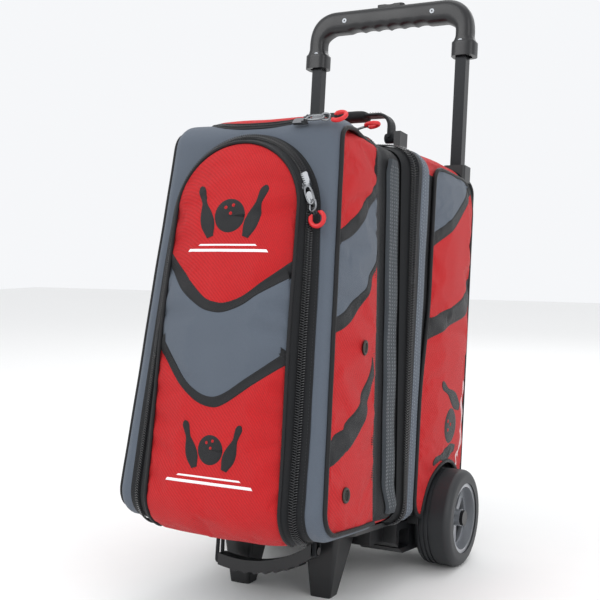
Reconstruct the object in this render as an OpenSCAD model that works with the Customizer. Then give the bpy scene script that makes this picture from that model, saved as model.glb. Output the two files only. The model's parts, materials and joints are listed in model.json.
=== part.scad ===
// Upright two-ball bowling bag on wheels.
// Sizes are in millimetres. X is to the bag's right, Y to its back and Z up.
// Every part is drawn in the bag's own upright frame and then leaned back as one,
// so the bag stands on two front feet and two wheels. The origin is on the ground,
// under the middle of the whole bag.

/* [Stance] */
// Angle by which the bag leans back on its wheels
lean = 6.6; // [5:0.2:8]
// Wheel diameter
wheel_d = 127; // [120:1:130]
// Width of each tyre
wheel_w = 50; // [44:1:52]
// Distance between the wheels' middle planes
wheel_track = 292; // [290:1:296]
// Distance of the axle behind the front feet's line
axle_y = 170; // [165:1:172]

/* [Body] */
// Height of the body's underside above the feet
base_z = 89; // [88:1:92]
// Height of the body's top edge at its sides
top_z = 553; // [545:1:556]
// Rise of the rear section's top from its edges to its middle
top_rise = 19; // [10:1:24]
// Width of the rear section
rear_w = 268; // [264:1:272]
// Front face of the rear section, where the ball zip runs
ball_zip_y = 40; // [38:1:44]
// Back face of the rear section
back_y = 245; // [243:1:248]
// Front face of the middle section, where the shoe zip runs
shoe_zip_y = -50; // [-54:1:-46]
// Width of the front section at its base
front_low_w = 272; // [264:1:274]
// Width of the front section at its top
front_top_w = 222; // [216:1:228]
// Front face at the base
front_low_y = -188; // [-192:1:-184]
// Front face at the top
front_top_y = -145; // [-150:1:-140]
// Thickness of the padded fabric walls
wall = 4; // [3:0.5:5]

/* [Ball compartment] */
// Diameter of a full-size bowling ball
ball_d = 216; // [210:1:218]

/* [Trolley handle] */
// Distance between the two trolley tubes
tube_gap = 230; // [226:1:232]
// Distance of the trolley tubes behind the front feet's line
tube_y = 229; // [228:0.5:229]
// Width of the innermost tubes
inner_tube = 16; // [15:0.5:16]
// Height of the grip's top above the feet
grip_top = 809; // [790:1:830]
// Overall width of the grip
grip_w = 266; // [262:1:270]

/* [Hidden] */
$fn = 48;

// Gap between pieces that move past each other
gap = 0.3;
black = "#1b1d20";
slate = "#66707c";
red = "#d9252b";
steel = "#b9bcc0";

// Axle height that puts the tyres on the ground once the bag leans back
axle_z = (wheel_d / 2 + axle_y * sin(lean)) / cos(lean);
axle_r = 4;
running = 0.05;
wheel_x = wheel_track / 2;
wheel_in = wheel_x - wheel_w / 2;
well_r = wheel_d / 2 + 7;
well_skin = 2.5;
well_x = wheel_in - 2;

// Back of the grip, the hindmost point of the whole bag
grip_d = 30;
grip_round = 4;
hindmost = (tube_y + grip_d / 2) * cos(lean) + (grip_top - grip_round) * sin(lean);

// Base plate under the body
plate_t = 6;
plate_low = base_z - plate_t;
plate_w = 232;
plate_front = -68;
axle_slot = 18.2;
foot_x = 57;
foot_y = -12;

// Rounded corners of the rear and middle sections
rear_low_r = 14;
rear_top_r = 30;
rear_wall = 5;
rear_back_r = 50;
mid_low_w = 266;
mid_top_w = 232;
mid_r = 24;
mid_low = base_z + 1;

// Front section, with its face leaning back from base to top
front_low = base_z + 1.3;
front_high = top_z + 9;
front_r = 30;
front_edge_r = 22;
top_drop = 6;
face_tilt = atan((front_top_y - front_low_y) / (front_high - top_drop - front_low));
face_depth = 20;

// Accessory pocket on the face, measured up the face
pocket_low_w = 180;
pocket_top_w = 160;
pocket_low = 12;
pocket_high = 437;
pocket_r = pocket_top_w / 2;
pocket_puff = 20;
pocket_deep = 44;

// The foremost point is the accessory pocket's lower front edge
pocket_out = pocket_puff + gap;
pocket_y = front_low_y - pocket_out * cos(face_tilt) + pocket_low * sin(face_tilt);
pocket_z = front_low + pocket_out * sin(face_tilt) + pocket_low * cos(face_tilt);
foremost = pocket_y * cos(lean) + pocket_z * sin(lean);
middle_y = (foremost + hindmost) / 2;

// The pocket's top is a half circle, and its slider follows the zip around it
pocket_low_r = 12;
arch_z = pocket_high - pocket_r;
zip_r = pocket_r + 8.5;
slider_turn = 25;

// Rounded front edge of the top: its centre line, seen from the side
top_run = 42;
top_slope = atan(top_drop / top_run);
edge_reach = front_edge_r / tan((90 + top_slope + face_tilt) / 2);
edge_mid = [front_top_y + edge_reach * cos(top_slope) + front_edge_r * sin(top_slope),
    front_high - top_drop + edge_reach * sin(top_slope) - front_edge_r * cos(top_slope)];

// Top pocket flap
flap_w = 156;
flap_front = -132;
flap_back = -64;
flap_t = 4.5;
tray_deep = 20;

// Trolley tubes
tube_wall = 1.3;
slip = 0.4;
mid_tube = inner_tube + 2 * (tube_wall + slip);
outer_tube = mid_tube + 2 * (tube_wall + slip);
tube_low = 142;
tube_high = top_z + 7;
mid_tube_low = 158;
bezel_high = top_z + 13;
inner_low = 330;

// Grip
grip_leg_w = 31;
grip_low = grip_top - 85;
grip_bar = 34;
grip_wall = 3;
button_w = 42;
button_d = 14;
yoke_z = grip_top - 21;
yoke_t = 6;

// Carry handle on the rear top
carry_y = 70;
carry_z = 576;
carry_x = 80;
carry_top = 612;

// Grab handle under the front
grab_y = -53;
grab_z = 75;
grab_left = -69;
grab_right = 65;
grab_tilt = 11.7;
grab_r = 163;
grab_t = 14;
grab_pin = 2.5;

// ---- shared helpers ----

// Leans the upright bag back and centres it over the origin
module leaned() translate([0, -middle_y, 0]) rotate([-lean, 0, 0]) children();

// Extrudes an outline drawn in X and Z from y0 to y1
module along_y(y0, y1) translate([0, y1, 0]) rotate([90, 0, 0]) linear_extrude(y1 - y0) children();

// Extrudes an outline drawn in Y and Z from x0 to x1
module along_x(x0, x1) translate([x0, 0, 0]) rotate([90, 0, 90]) linear_extrude(x1 - x0) children();

// Extrudes an outline drawn in X and Y from z0 to z1
module along_z(z0, z1) translate([0, 0, z0]) linear_extrude(z1 - z0) children();

// A block between two corners
module block(low, high) translate(low) cube(high - low);

// A round rod along X
module rod_x(x0, x1, r) translate([x0, 0, 0]) rotate([0, 90, 0]) cylinder(r = r, h = x1 - x0);

// A shape and its mirror image on the other side of the bag
module both_sides() {
    children();
    mirror([1, 0, 0]) children();
}

// A square bar along Z on a trolley tube's centre line
module tube_bar(size, z0, z1)
    translate([tube_gap / 2, tube_y, z0]) translate([-size / 2, -size / 2, 0])
        cube([size, size, z1 - z0]);

// Outline of the rear section, seen from the front
module rear_outline(inset = 0)
    intersection() {
        offset(r = rear_top_r) offset(delta = -rear_top_r - inset)
            polygon(concat([[-rear_w / 2, base_z - 40], [rear_w / 2, base_z - 40]],
                [for (i = [10:-1:-10]) [rear_w / 2 * i / 10, top_z + top_rise * (1 - i * i / 100)]]));
        offset(r = rear_low_r) offset(delta = -rear_low_r - inset)
            translate([-rear_w / 2, base_z]) square([rear_w, top_z + 60 - base_z]);
    }

// Outline of the rear section, seen from its side, with its top back edge rounded off
module rear_profile(inset = 0)
    offset(r = rear_back_r) offset(delta = -rear_back_r - inset)
        polygon([[-200, base_z - 200], [back_y, base_z - 200], [back_y, top_z + top_rise], [-200, top_z + top_rise]]);

module rear_solid(inset = 0, back_inset = 0)
    intersection() {
        along_y(ball_zip_y + gap, back_y - back_inset) rear_outline(inset);
        along_x(-200, 200) rear_profile(inset);
    }

module rear_skin()
    difference() {
        rear_solid(0, wall);
        translate([0, -1, 0]) rear_solid(rear_wall);
    }

// Outline of the middle section, seen from the front
module mid_outline(inset = 0)
    offset(r = mid_r) offset(delta = -mid_r - inset)
        polygon([[-mid_low_w / 2, mid_low], [mid_low_w / 2, mid_low],
            [mid_top_w / 2, top_z - 2], [-mid_top_w / 2, top_z - 2]]);

// Outline of the front section, seen from the front
module front_outline(inset = 0)
    offset(r = front_r) offset(delta = -front_r - inset)
        polygon([[-front_low_w / 2, front_low], [front_low_w / 2, front_low],
            [front_top_w / 2, front_high], [-front_top_w / 2, front_high]]);

// Outline of the front section, seen from its side and run on behind the shoe zip
module front_profile(inset = 0)
    offset(r = front_edge_r) offset(delta = -front_edge_r - inset)
        polygon([[0, front_low], [front_low_y, front_low], [front_top_y, front_high - top_drop],
            [front_top_y + top_run, front_high], [0, top_z - 8]]);

module front_solid(inset = 0)
    intersection() {
        along_y(-220, shoe_zip_y - gap + inset) front_outline(inset);
        along_x(-160, 160) front_profile(inset);
    }

module front_skin()
    difference() {
        front_solid();
        front_solid(wall);
    }

// Places a shape on the leaning front face: Y is 0 on the face, Z runs up it
module on_face() translate([0, front_low_y, front_low]) rotate([-face_tilt, 0, 0]) children();

module pocket_outline(inset = 0)
    offset(delta = -inset) hull() {
        for (s = [-1, 1])
            translate([s * (pocket_low_w / 2 - pocket_low_r), pocket_low + pocket_low_r]) circle(pocket_low_r);
        translate([0, arch_z]) circle(pocket_r);
    }

// Ground cut: nothing of a foot reaches below the floor
module above_floor()
    difference() {
        children();
        translate([-500, -500, -100]) cube([1000, 1000, 100]);
    }

// ---- base ----

module base_frame()
    color(black) leaned() {
        difference() {
            along_z(plate_low, base_z) offset(14) offset(-14)
                translate([-plate_w / 2, plate_front]) square([plate_w, back_y - wall - plate_front]);
            for (s = [-1, 1])
                block([s * 88 - 30.1, axle_y - axle_slot / 2, plate_low - 1],
                    [s * 88 + 30.1, axle_y + axle_slot / 2, base_z + 1]);
            block([-58.1, axle_y - 6, plate_low - 1], [58.1, axle_y + 6, base_z + 1]);
            for (p = screw_places) translate([p[0], p[1], plate_low - 1]) cylinder(r = 2.1, h = 20);
        }
        // Rails from the feet back to the wheel brackets
        both_sides() block([foot_x + 3, foot_y + 34, plate_low - 25], [foot_x + 43, 61.9, plate_low]);
        // Ribs that run on under the axle and tie the front and back of the plate together
        both_sides() difference() {
            block([26, 120, plate_low - 16], [36, 220, plate_low]);
            translate([0, axle_y, axle_z]) rod_x(20, 40, axle_r + 1);
        }
        // Ears and pins that the grab handle's straps hang from
        for (x = [grab_left, grab_right]) {
            for (s = [-1, 1])
                block([x + s * 5 - 1.5, grab_y - 5, grab_z - 5], [x + s * 5 + 1.5, grab_y + 5, plate_low]);
            translate([0, grab_y, grab_z]) rod_x(x - 5, x + 5, grab_pin);
        }
    }

screw_places = [[-40, 52], [40, 52], [-40, 130], [40, 130], [-40, 215], [40, 215]];

module base_screws()
    color(steel) leaned()
        for (p = screw_places) translate([p[0], p[1], plate_low - 2.5]) difference() {
            union() {
                cylinder(r = 4, h = 2.5);
                cylinder(r = 2, h = plate_t + 6);
            }
            translate([0, 0, -1]) cylinder(r = 1.6, h = 2.2, $fn = 6);
        }

module front_foot(side)
    color(black) above_floor() leaned() mirror([side < 0 ? 1 : 0, 0, 0]) difference() {
        hull() {
            translate([foot_x, foot_y, -4]) along_z(0, 2) offset(4) square([19, 13], center = true);
            translate([foot_x + 2, foot_y + 2, 52]) along_z(0, 2) offset(6) square([26, 24], center = true);
            translate([foot_x + 2, foot_y + 6, plate_low - 5]) along_z(0, 5)
                offset(6) square([36, 42], center = true);
        }
        // Moulding pocket in the back of the foot
        block([foot_x - 7, foot_y + 6, 12], [foot_x + 9, foot_y + 60, 52]);
    }

module bracket_outline()
    difference() {
        union() {
            polygon([[62, plate_low], [back_y - 8, plate_low], [back_y - 8, 62], [218, 43], [86, 43], [62, 58]]);
            translate([axle_y - axle_slot / 2 + 0.1, plate_low - 1]) square([axle_slot - 0.2, plate_t + 1]);
        }
        // Lightening pockets either side of the axle
        for (y = [88, 205]) translate([y, 62]) offset(4) square([26, 16], center = true);
    }

module wheel_bracket(side)
    color(black) leaned() mirror([side < 0 ? 1 : 0, 0, 0]) difference() {
        union() {
            along_x(60, well_x - 0.8) bracket_outline();
            // Wheel well: an arch over the tyre with a closed inner wall
            translate([0, axle_y, axle_z]) intersection() {
                difference() {
                    rod_x(well_x - well_skin, 133, well_r + well_skin);
                    rod_x(well_x, 140, well_r);
                }
                block([0, -100, plate_low - 3 - axle_z], [200, back_y - wall - axle_y, 100]);
            }
        }
        translate([0, axle_y, axle_z]) rod_x(0, 200, axle_r);
    }

module axle_rod()
    color(steel) leaned() translate([0, axle_y, axle_z])
        rod_x(-wheel_x - wheel_w / 2 + 4, wheel_x + wheel_w / 2 - 4, axle_r);

// ---- wheels ----

module at_wheel(side)
    leaned() translate([side * wheel_x, axle_y, axle_z]) rotate([0, 90 * side, 0]) children();

module tyre(side)
    color("#2a2b2e") at_wheel(side) rotate_extrude($fn = 96) difference() {
        hull() {
            for (s = [-1, 1]) translate([wheel_d / 2 - 9, s * (wheel_w / 2 - 9)]) circle(9);
            translate([46, -wheel_w / 2]) square([2, wheel_w]);
        }
        // Grooves around the tread
        for (z = [-16, -10, -4]) translate([wheel_d / 2 - 1.5, z]) square([4, 2.4]);
        translate([0, -wheel_w]) square([46, 2 * wheel_w]);
    }

module rim(side)
    color("#aeb2b8") at_wheel(side) difference() {
        union() {
            // Barrel under the tyre with a raised lip on the outside
            rotate_extrude($fn = 96) union() {
                translate([41, -wheel_w / 2 + 2]) square([5, wheel_w - 4]);
                translate([36, 6]) square([6, 4.5]);
            }
            rotate_extrude() translate([0, -wheel_w / 2 + 3]) square([11, wheel_w - 8]);
            for (a = [0:72:288]) rotate([0, 0, a]) translate([8, -5, 3]) cube([35, 10, 8.5]);
        }
        translate([0, 0, -100]) cylinder(r = axle_r + running, h = 200);
    }

module hub_cap(side)
    color(black) at_wheel(side) translate([0, 0, wheel_w / 2 - 5]) difference() {
        cylinder(r = 10, h = 4.5);
        translate([0, 0, -1]) cylinder(r = axle_r + 0.6, h = 3.2);
    }

// ---- rear section ----

module rear_keep(z0, z1)
    difference() {
        block([-200, ball_zip_y, z0], [200, back_y, z1]);
        both_sides() translate([0, axle_y, axle_z]) {
            rod_x(well_x - well_skin, 220, well_r + well_skin);
            block([well_x - well_skin, 0, -100], [220, 100, side_low - axle_z]);
        }
        both_sides() tube_bar(outer_tube, tube_low, tube_high + 30);
    }

side_low = base_z + rear_low_r;
side_high = top_z - rear_top_r;

module rear_side(side)
    color(red) leaned() mirror([side < 0 ? 1 : 0, 0, 0]) intersection() {
        along_z(side_low, side_high)
            polygon([[rear_w / 2 - rear_wall, ball_zip_y + gap], [rear_w / 2, ball_zip_y + gap],
                [rear_w / 2, 74], [rear_w / 2 + 6, 80], [rear_w / 2 + 10, 95],
                [rear_w / 2 + 10, 222], [rear_w / 2 + 6, 236], [rear_w / 2, back_y - wall],
                [rear_w / 2 - rear_wall, back_y - wall]]);
        rear_keep(side_low, side_high);
    }

module rear_top()
    color(red) leaned() intersection() {
        rear_skin();
        rear_keep(side_high, top_z + 60);
    }

module rear_bottom()
    color(black) leaned() difference() {
        intersection() {
            rear_skin();
            rear_keep(base_z, side_low);
        }
        for (p = screw_places)
            translate([p[0], p[1], base_z - 1]) cylinder(r = 2.1, h = 20);
    }

module back_board()
    color(black) leaned() intersection() {
        rear_solid();
        along_y(back_y - wall, back_y) rear_outline();
    }

// A strip that runs up both sides and over the top of the rear section
module rear_strip(y0, y1, proud)
    intersection() {
        along_y(y0, y1) difference() {
            rear_outline(-proud);
            rear_outline();
        }
        rear_keep(base_z + 4, top_z + 60);
    }

band_back = 72;
module rear_band()
    color(slate) leaned() rear_strip(50, band_back, 1.5);

module ball_zip_chain()
    color(black) leaned() rear_strip(ball_zip_y + gap, 48, 2.5);

// ---- ball compartment ----

module ball_ring(z)
    translate([0, 120, z]) rotate_extrude() translate([42, 0]) square([28, 8]);

shelf_z = base_z + rear_wall + ball_d + 3;

module ball_cups()
    color("#3a3d42") leaned() {
        ball_ring(base_z + rear_wall);
        ball_ring(shelf_z + rear_wall);
    }

module ball_shelf()
    color("#3a3d42") leaned() along_z(shelf_z, shelf_z + rear_wall)
        difference() {
            translate([-rear_w / 2 + rear_wall, ball_zip_y + 4]) square([rear_w - 2 * rear_wall, 172]);
            translate([0, 120]) circle(30);
        }

// ---- trolley ----

module outer_tubes()
    color(black) leaned() both_sides() difference() {
        tube_bar(outer_tube, tube_low, tube_high);
        tube_bar(mid_tube + 2 * slip, tube_low - 1, tube_high + 1);
    }

module middle_tubes()
    color("#2b2d30") leaned() both_sides() difference() {
        tube_bar(mid_tube, mid_tube_low, tube_high + 2);
        tube_bar(inner_tube + 2 * slip, mid_tube_low - 1, tube_high + 3);
    }

module inner_tubes()
    color("#2b2d30") leaned() both_sides() difference() {
        tube_bar(inner_tube, inner_low, grip_top - 39);
        tube_bar(inner_tube - 2 * tube_wall, inner_low - 1, grip_top);
    }

module lock_plugs()
    color(black) leaned() both_sides() {
        tube_bar(inner_tube, inner_low - 8, inner_low);
        tube_bar(inner_tube - 2 * tube_wall, inner_low, inner_low + 15);
    }

module tube_bezels()
    color(black) leaned() both_sides() difference() {
        translate([tube_gap / 2, tube_y, 0]) along_z(side_high + 2, bezel_high) offset(5)
            square([inner_tube + 6, inner_tube + 4], center = true);
        rear_solid();
        block([0, back_y, 0], [200, back_y + 20, top_z + 60]);
        tube_bar(outer_tube, tube_low, tube_high);
        tube_bar(mid_tube + 2 * slip, tube_low, bezel_high + 1);
    }

module tube_foot()
    color(black) leaned() both_sides() {
        tube_bar(outer_tube, tube_low - 4, tube_low);
        tube_bar(mid_tube + 2 * slip, tube_low, tube_low + 12);
        // Foot's heel, screwed to the back board
        translate([tube_gap / 2 - 10, tube_y, tube_low - 4]) cube([20, back_y - wall - tube_y, 4]);
    }

module grip_outline(inset = 0)
    offset(delta = -inset) difference() {
        union() {
            hull() {
                translate([-grip_w / 2, grip_low]) square([grip_w, 2]);
                for (s = [-1, 1]) translate([s * (grip_w / 2 - 42), grip_top - 42]) circle(42);
            }
            // Flared sockets over the tubes
            for (s = [-1, 1]) translate([s * tube_gap / 2, grip_low + 11]) offset(2)
                square([grip_leg_w, 18], center = true);
        }
        difference() {
            hull() {
                translate([-grip_w / 2 + grip_leg_w + 2, grip_low - 20]) square([grip_w - 2 * grip_leg_w - 4, 2]);
                for (s = [-1, 1])
                    translate([s * (grip_w / 2 - grip_leg_w - 26), grip_top - grip_bar - 24]) circle(24);
            }
            // Finger ribs under the bar
            for (i = [-3:2]) translate([(i + 0.5) * 20, grip_top - grip_bar + 5]) circle(8);
        }
    }

// One half of the grip, from the seam at tube_y out to its outer face
module grip_half(back)
    leaned() translate([0, tube_y, 0]) mirror([0, back ? 0 : 1, 0]) difference() {
        union() {
            along_y(0, grip_d / 2 - 5) grip_outline();
            along_y(0, grip_d / 2 - 2) grip_outline(1.5);
            along_y(0, grip_d / 2) grip_outline(grip_round);
        }
        along_y(-1, grip_d / 2 - 5) grip_outline(grip_wall);
        translate([0, -tube_y, 0]) both_sides() tube_bar(inner_tube, grip_low - 9, grip_top - 39);
        block([-button_w / 2 - 0.4, -1, yoke_z], [button_w / 2 + 0.4, button_d / 2 + 0.4, grip_top + 9]);
        if (!back) for (p = grip_screw_places) translate([p[0], grip_d / 2 - 6, p[1]]) rotate([-90, 0, 0])
            cylinder(r = 3.6, h = 20);
    }

grip_screw_places = [[-tube_gap / 2, grip_low + 20], [tube_gap / 2, grip_low + 20],
    [-70, grip_top - 17], [70, grip_top - 17]];

module grip_front_shell()
    color(black) grip_half(false);

module grip_back_shell()
    color(black) grip_half(true);

module grip_screws()
    color(steel) leaned() for (p = grip_screw_places)
        translate([p[0], tube_y - grip_d / 2 + 1, p[1]]) rotate([-90, 0, 0]) difference() {
            cylinder(r = 3.5, h = 3.5);
            translate([0, 0, -1]) cylinder(r = 1.4, h = 2.6, $fn = 6);
        }

module release_button()
    color("#3a3d42") leaned() translate([0, tube_y, 0]) difference() {
        along_z(yoke_z + yoke_t, grip_top + 3.5) offset(5)
            square([button_w - 10, button_d - 10], center = true);
        // Thumb hollow across the button's top
        translate([0, 0, grip_top + 30]) rotate([90, 0, 0]) cylinder(r = 27.5, h = 40, center = true);
    }

module push_rods()
    color(steel) leaned() {
        translate([-tube_gap / 2 - 2.5, tube_y - 3, yoke_z]) cube([tube_gap + 5, 6, yoke_t]);
        both_sides() tube_bar(5, inner_low + 22, yoke_z);
    }

// Points of one ring of a round wire on the coil, at angle a around it
function coil_ring(a, r, z, wire) = [for (i = [0:7])
    [(r + wire * cos(i * 45)) * cos(a), (r + wire * cos(i * 45)) * sin(a), z + wire * sin(i * 45)]];

module coil(r, z0, z1, turns, wire) {
    steps = turns * 16;
    rings = [for (k = [0:steps]) coil_ring(k * 360 / 16, r, z0 + (z1 - z0) * k / steps, wire)];
    points = [for (ring = rings) for (p = ring) p];
    sides = [for (k = [0:steps - 1]) for (i = [0:7])
        [k * 8 + i, (k + 1) * 8 + i, (k + 1) * 8 + (i + 1) % 8, k * 8 + (i + 1) % 8]];
    polyhedron(points, concat(sides, [[for (i = [0:7]) i]], [[for (i = [7:-1:0]) steps * 8 + i]]));
}

module button_spring()
    color(steel) leaned() translate([0, tube_y, 0])
        coil(3.5, grip_top - grip_bar + grip_wall + 0.7, yoke_z - 0.7, 3, 0.6);

// ---- carry handle ----

module carry_anchors()
    color(black) leaned() both_sides() translate([0, carry_y, 0]) {
        difference() {
            block([carry_x + 9, -12, 550], [carry_x + 18, 12, carry_z + 7]);
            translate([0, -carry_y, 0]) along_y(0, band_back) rear_outline(-1.5);
            translate([0, -carry_y, 0]) along_y(band_back, 400) rear_outline();
        }
        translate([0, 0, carry_z]) rod_x(carry_x - 8, carry_x + 12, 3);
    }

module carry_handle()
    color(black) leaned() translate([0, carry_y, 0]) difference() {
        union() {
            along_x(-carry_x - 8, carry_x + 8) translate([0, carry_top - 6]) offset(4)
                square([16, 4], center = true);
            both_sides() {
                block([carry_x - 8, -7, carry_z], [carry_x + 8, 7, carry_top - 8]);
                translate([0, 0, carry_z]) rod_x(carry_x - 8, carry_x + 8, 7);
            }
        }
        both_sides() translate([0, 0, carry_z]) rod_x(carry_x - 9, carry_x + 9, 3 + running);
    }

// ---- grab handle ----

grab_mid = [(grab_left + grab_right) / 2, 46];

// The handle's centre line is an arc; its ends are cut off square for the trunnions
grab_hub = grab_mid + (grab_r - 14) * [-sin(grab_tilt), cos(grab_tilt)];
function grab_height(x) = grab_hub[1] - sqrt(grab_r * grab_r - (x - grab_hub[0]) * (x - grab_hub[0]));

module grab_handle()
    color(black) leaned() translate([0, grab_y, 0]) {
        along_y(-9, 9) intersection() {
            union() {
                translate(grab_hub) difference() {
                    circle(grab_r + grab_t / 2, $fn = 180);
                    circle(grab_r - grab_t / 2, $fn = 180);
                }
                // Finger ribs under the handle
                for (i = [-3:3]) translate(grab_hub) rotate(grab_tilt + i * 5)
                    translate([0, -grab_r - grab_t / 2 + 3]) circle(5);
            }
            translate([grab_left + 3, -20]) square([grab_right - grab_left - 6, 120]);
        }
        // Trunnions that the webbing loops hold, with a head to keep them on
        for (s = [-1, 1]) grab_trunnion(s);
    }

module grab_trunnion(s) {
    x = s < 0 ? grab_left : grab_right;
    translate([0, 0, grab_height(x - s * 3)]) mirror([s < 0 ? 1 : 0, 0, 0]) {
        rod_x(s * x - 8, s * x + 3.4, 3);
        rod_x(s * x + 2.4, s * x + 3.4, 4.5);
    }
}

// Webbing loops from the base frame's pins down to the handle's trunnions
module grab_straps()
    color(black) leaned() translate([0, grab_y, 0]) for (s = [-1, 1]) {
        x = s < 0 ? grab_left : grab_right;
        difference() {
            along_x(x - 2, x + 2) hull() {
                translate([0, grab_z]) circle(5.5);
                translate([0, grab_height(x - s * 3)]) circle(6.5);
            }
            translate([0, 0, grab_z]) rod_x(x - 5, x + 5, grab_pin + running);
            translate([0, 0, grab_height(x - s * 3)]) rod_x(x - 5, x + 5, 3 + running);
        }
    }

// ---- ball door: the middle section ----

module mid_frame()
    color(black) leaned() along_y(shoe_zip_y, ball_zip_y) difference() {
        mid_outline();
        mid_outline(wall);
    }

module divider_board()
    color("#3a3d42") leaned() along_y(0, wall) mid_outline(wall);

module mid_strip(y0, y1, z0, z1, proud)
    intersection() {
        along_y(y0, y1) difference() {
            mid_outline(-proud);
            mid_outline();
        }
        block([-200, y0, z0], [200, y1, z1]);
    }

module storm_flaps()
    color(slate) leaned() mid_strip(12, 34, 112, 528, 2.5);

module shoe_zip_chain()
    color(black) leaned() mid_strip(shoe_zip_y, shoe_zip_y + 8, mid_low, 600, 2);

// ---- shoe door: the front section ----

module face_keep() on_face() block([-200, -40, -60], [200, face_depth, 560]);

eyelets = [[-98, 302], [-132, 145]];

// Places a shape on the leaning right side wall of the front section
side_tilt = atan((front_low_w - front_top_w) / 2 / (front_high - front_low));
module on_side(y, z)
    translate([front_low_w / 2, y, front_low]) rotate([0, -side_tilt, 0])
        translate([0, 0, (z - front_low) / cos(side_tilt)]) rotate([0, 90, 0]) children();

module front_side(side)
    color(red) leaned() mirror([side < 0 ? 1 : 0, 0, 0]) difference() {
        intersection() {
            front_skin();
            block([60, -220, front_low + front_r], [200, 0, front_high - front_r]);
        }
        face_keep();
        for (e = eyelets) on_side(e[0], e[1]) translate([0, 0, -20]) cylinder(r = 6, h = 40);
    }

module vent_eyelets()
    color("#5c5e60") leaned() both_sides() for (e = eyelets) on_side(e[0], e[1]) difference() {
        union() {
            cylinder(r = 9, h = 1.6);
            translate([0, 0, -wall - 1]) cylinder(r = 6, h = wall + 2);
        }
        translate([0, 0, -20]) cylinder(r = 4.6, h = 40);
    }

module flap_window()
    block([-flap_w / 2 + 8, flap_front + 12, top_z - tray_deep], [flap_w / 2 - 8, flap_back - 10, top_z + 40]);

module front_top()
    color(slate) leaned() {
        difference() {
            intersection() {
                front_skin();
                block([-200, -220, front_high - front_r], [200, 0, front_high + 30]);
            }
            face_keep();
            flap_window();
        }
        // Fabric tray that hangs inside the window
        intersection() {
            difference() {
                block([-flap_w / 2 + 6.5, flap_front + 10.5, top_z - tray_deep - 1.5],
                    [flap_w / 2 - 6.5, flap_back - 8.5, top_z + 40]);
                flap_window();
            }
            front_solid(wall);
        }
    }

module front_bottom()
    color(red) leaned() difference() {
        intersection() {
            front_skin();
            block([-200, -220, front_low - 1], [200, 0, front_low + front_r]);
        }
        face_keep();
    }

module front_face()
    color(slate) leaned() difference() {
        intersection() {
            front_skin();
            face_keep();
        }
        on_face() intersection() {
            along_y(-5, 30) pocket_outline(12);
            block([-200, -10, liner_low], [200, 100, 500]);
        }
    }

liner_low = 34;
liner_skin = 1.5;
module pocket_liner()
    color("#2b2d30") leaned() on_face() difference() {
        intersection() {
            along_y(wall, wall + pocket_deep) pocket_outline(12 - liner_skin);
            block([-200, 0, liner_low - liner_skin], [200, 100, 500]);
        }
        intersection() {
            along_y(0, wall + pocket_deep - liner_skin) pocket_outline(12);
            block([-200, -10, liner_low], [200, 100, 500]);
        }
    }

module pocket_zip_chain()
    color(black) leaned() on_face() intersection() {
        along_y(-5, 0) difference() {
            pocket_outline(-16);
            pocket_outline(-0.5);
        }
        block([-200, -10, 34], [200, 5, 500]);
    }

module pocket_panel()
    color(red) leaned() on_face() along_y(-pocket_puff - gap, -gap) pocket_outline();

module top_flap()
    color(red) leaned() intersection() {
        along_x(-flap_w / 2, flap_w / 2) difference() {
            front_profile(-flap_t - gap);
            front_profile(-gap);
        }
        block([-200, flap_front, 500], [200, flap_back, 620]);
    }

// ---- zip sliders and pulls ----

// A slider on its zip: Z is away from the fabric and the zip runs along X.
// The pull's pin is at the end towards +X.
slider_pin = [9.5, 0, 5.3];
module slider()
    difference() {
        union() {
            along_z(0, 3) offset(2.5) square([12, 5], center = true);
            // Two ears with the pin between them
            for (s = [-1, 1]) translate([slider_pin[0], s * 4, slider_pin[2]]) rotate([90, 0, 0])
                cylinder(r = 2.2, h = 1.6, center = true);
            for (s = [-1, 1]) block([4, s * 4 - 0.8, 0], [slider_pin[0] + 2.2, s * 4 + 0.8, slider_pin[2]]);
            translate(slider_pin) rotate([90, 0, 0]) cylinder(r = 1, h = 9, center = true);
        }
    }

// The pull: a flat metal tab, a short moulded link and a U-shaped finger grip
pull_len = 50;
// The shoe pull's stiff link holds its grip up over the front section's shoulder
shoe_pull_lift = 12;
module pull(lift = 0)
    difference() {
        union() {
            translate(slider_pin) rotate([0, -lift, 0]) {
                rotate([90, 0, 0]) cylinder(r = 2, h = 5.4, center = true);
                along_z(-1, 1) difference() {
                    union() {
                        translate([0, -2.7]) square([5, 5.4]);
                        hull() {
                            translate([6, 0]) circle(3.5);
                            translate([20, 0]) circle(5);
                        }
                        translate([20, -1.5]) square([14, 3]);
                        translate([pull_len - 10, 0]) circle(11);
                    }
                    translate([17, 0]) circle(2.5);
                    translate([pull_len - 8, 0]) circle(6.5);
                    translate([pull_len - 6, -4]) square([20, 8]);
                }
            }
        }
        translate(slider_pin) rotate([90, 0, 0]) cylinder(r = 1 + running, h = 20, center = true);
    }

// Pocket slider: on the right shoulder of the pocket's arch, its pull hanging down
module at_pocket_slider()
    leaned() on_face() translate([0, -5 - gap, arch_z]) rotate([90, 90 - slider_turn, 0])
        translate([0, zip_r, 0]) children();

// Top pocket slider: on the rounded edge in front of the flap, its pull lying to the right
module at_top_slider()
    leaned() translate([60, edge_mid[0], edge_mid[1]]) rotate([45, 0, 0])
        translate([0, 0, front_edge_r + gap]) children();

// Shoe slider: on the zip's top run, its pull lying to the right
module at_shoe_slider()
    leaned() translate([56, shoe_zip_y + 4, top_z + 0.8]) children();

// Ball slider: on the zip's top run, its pull lying to the right
module at_ball_slider()
    leaned() translate([-30, ball_zip_y + 4, top_z + top_rise + 3]) children();

module zip_slider() color(steel) slider();
module zip_pull(lift = 0) color(red) pull(lift);

// ---- nodes ----

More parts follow.
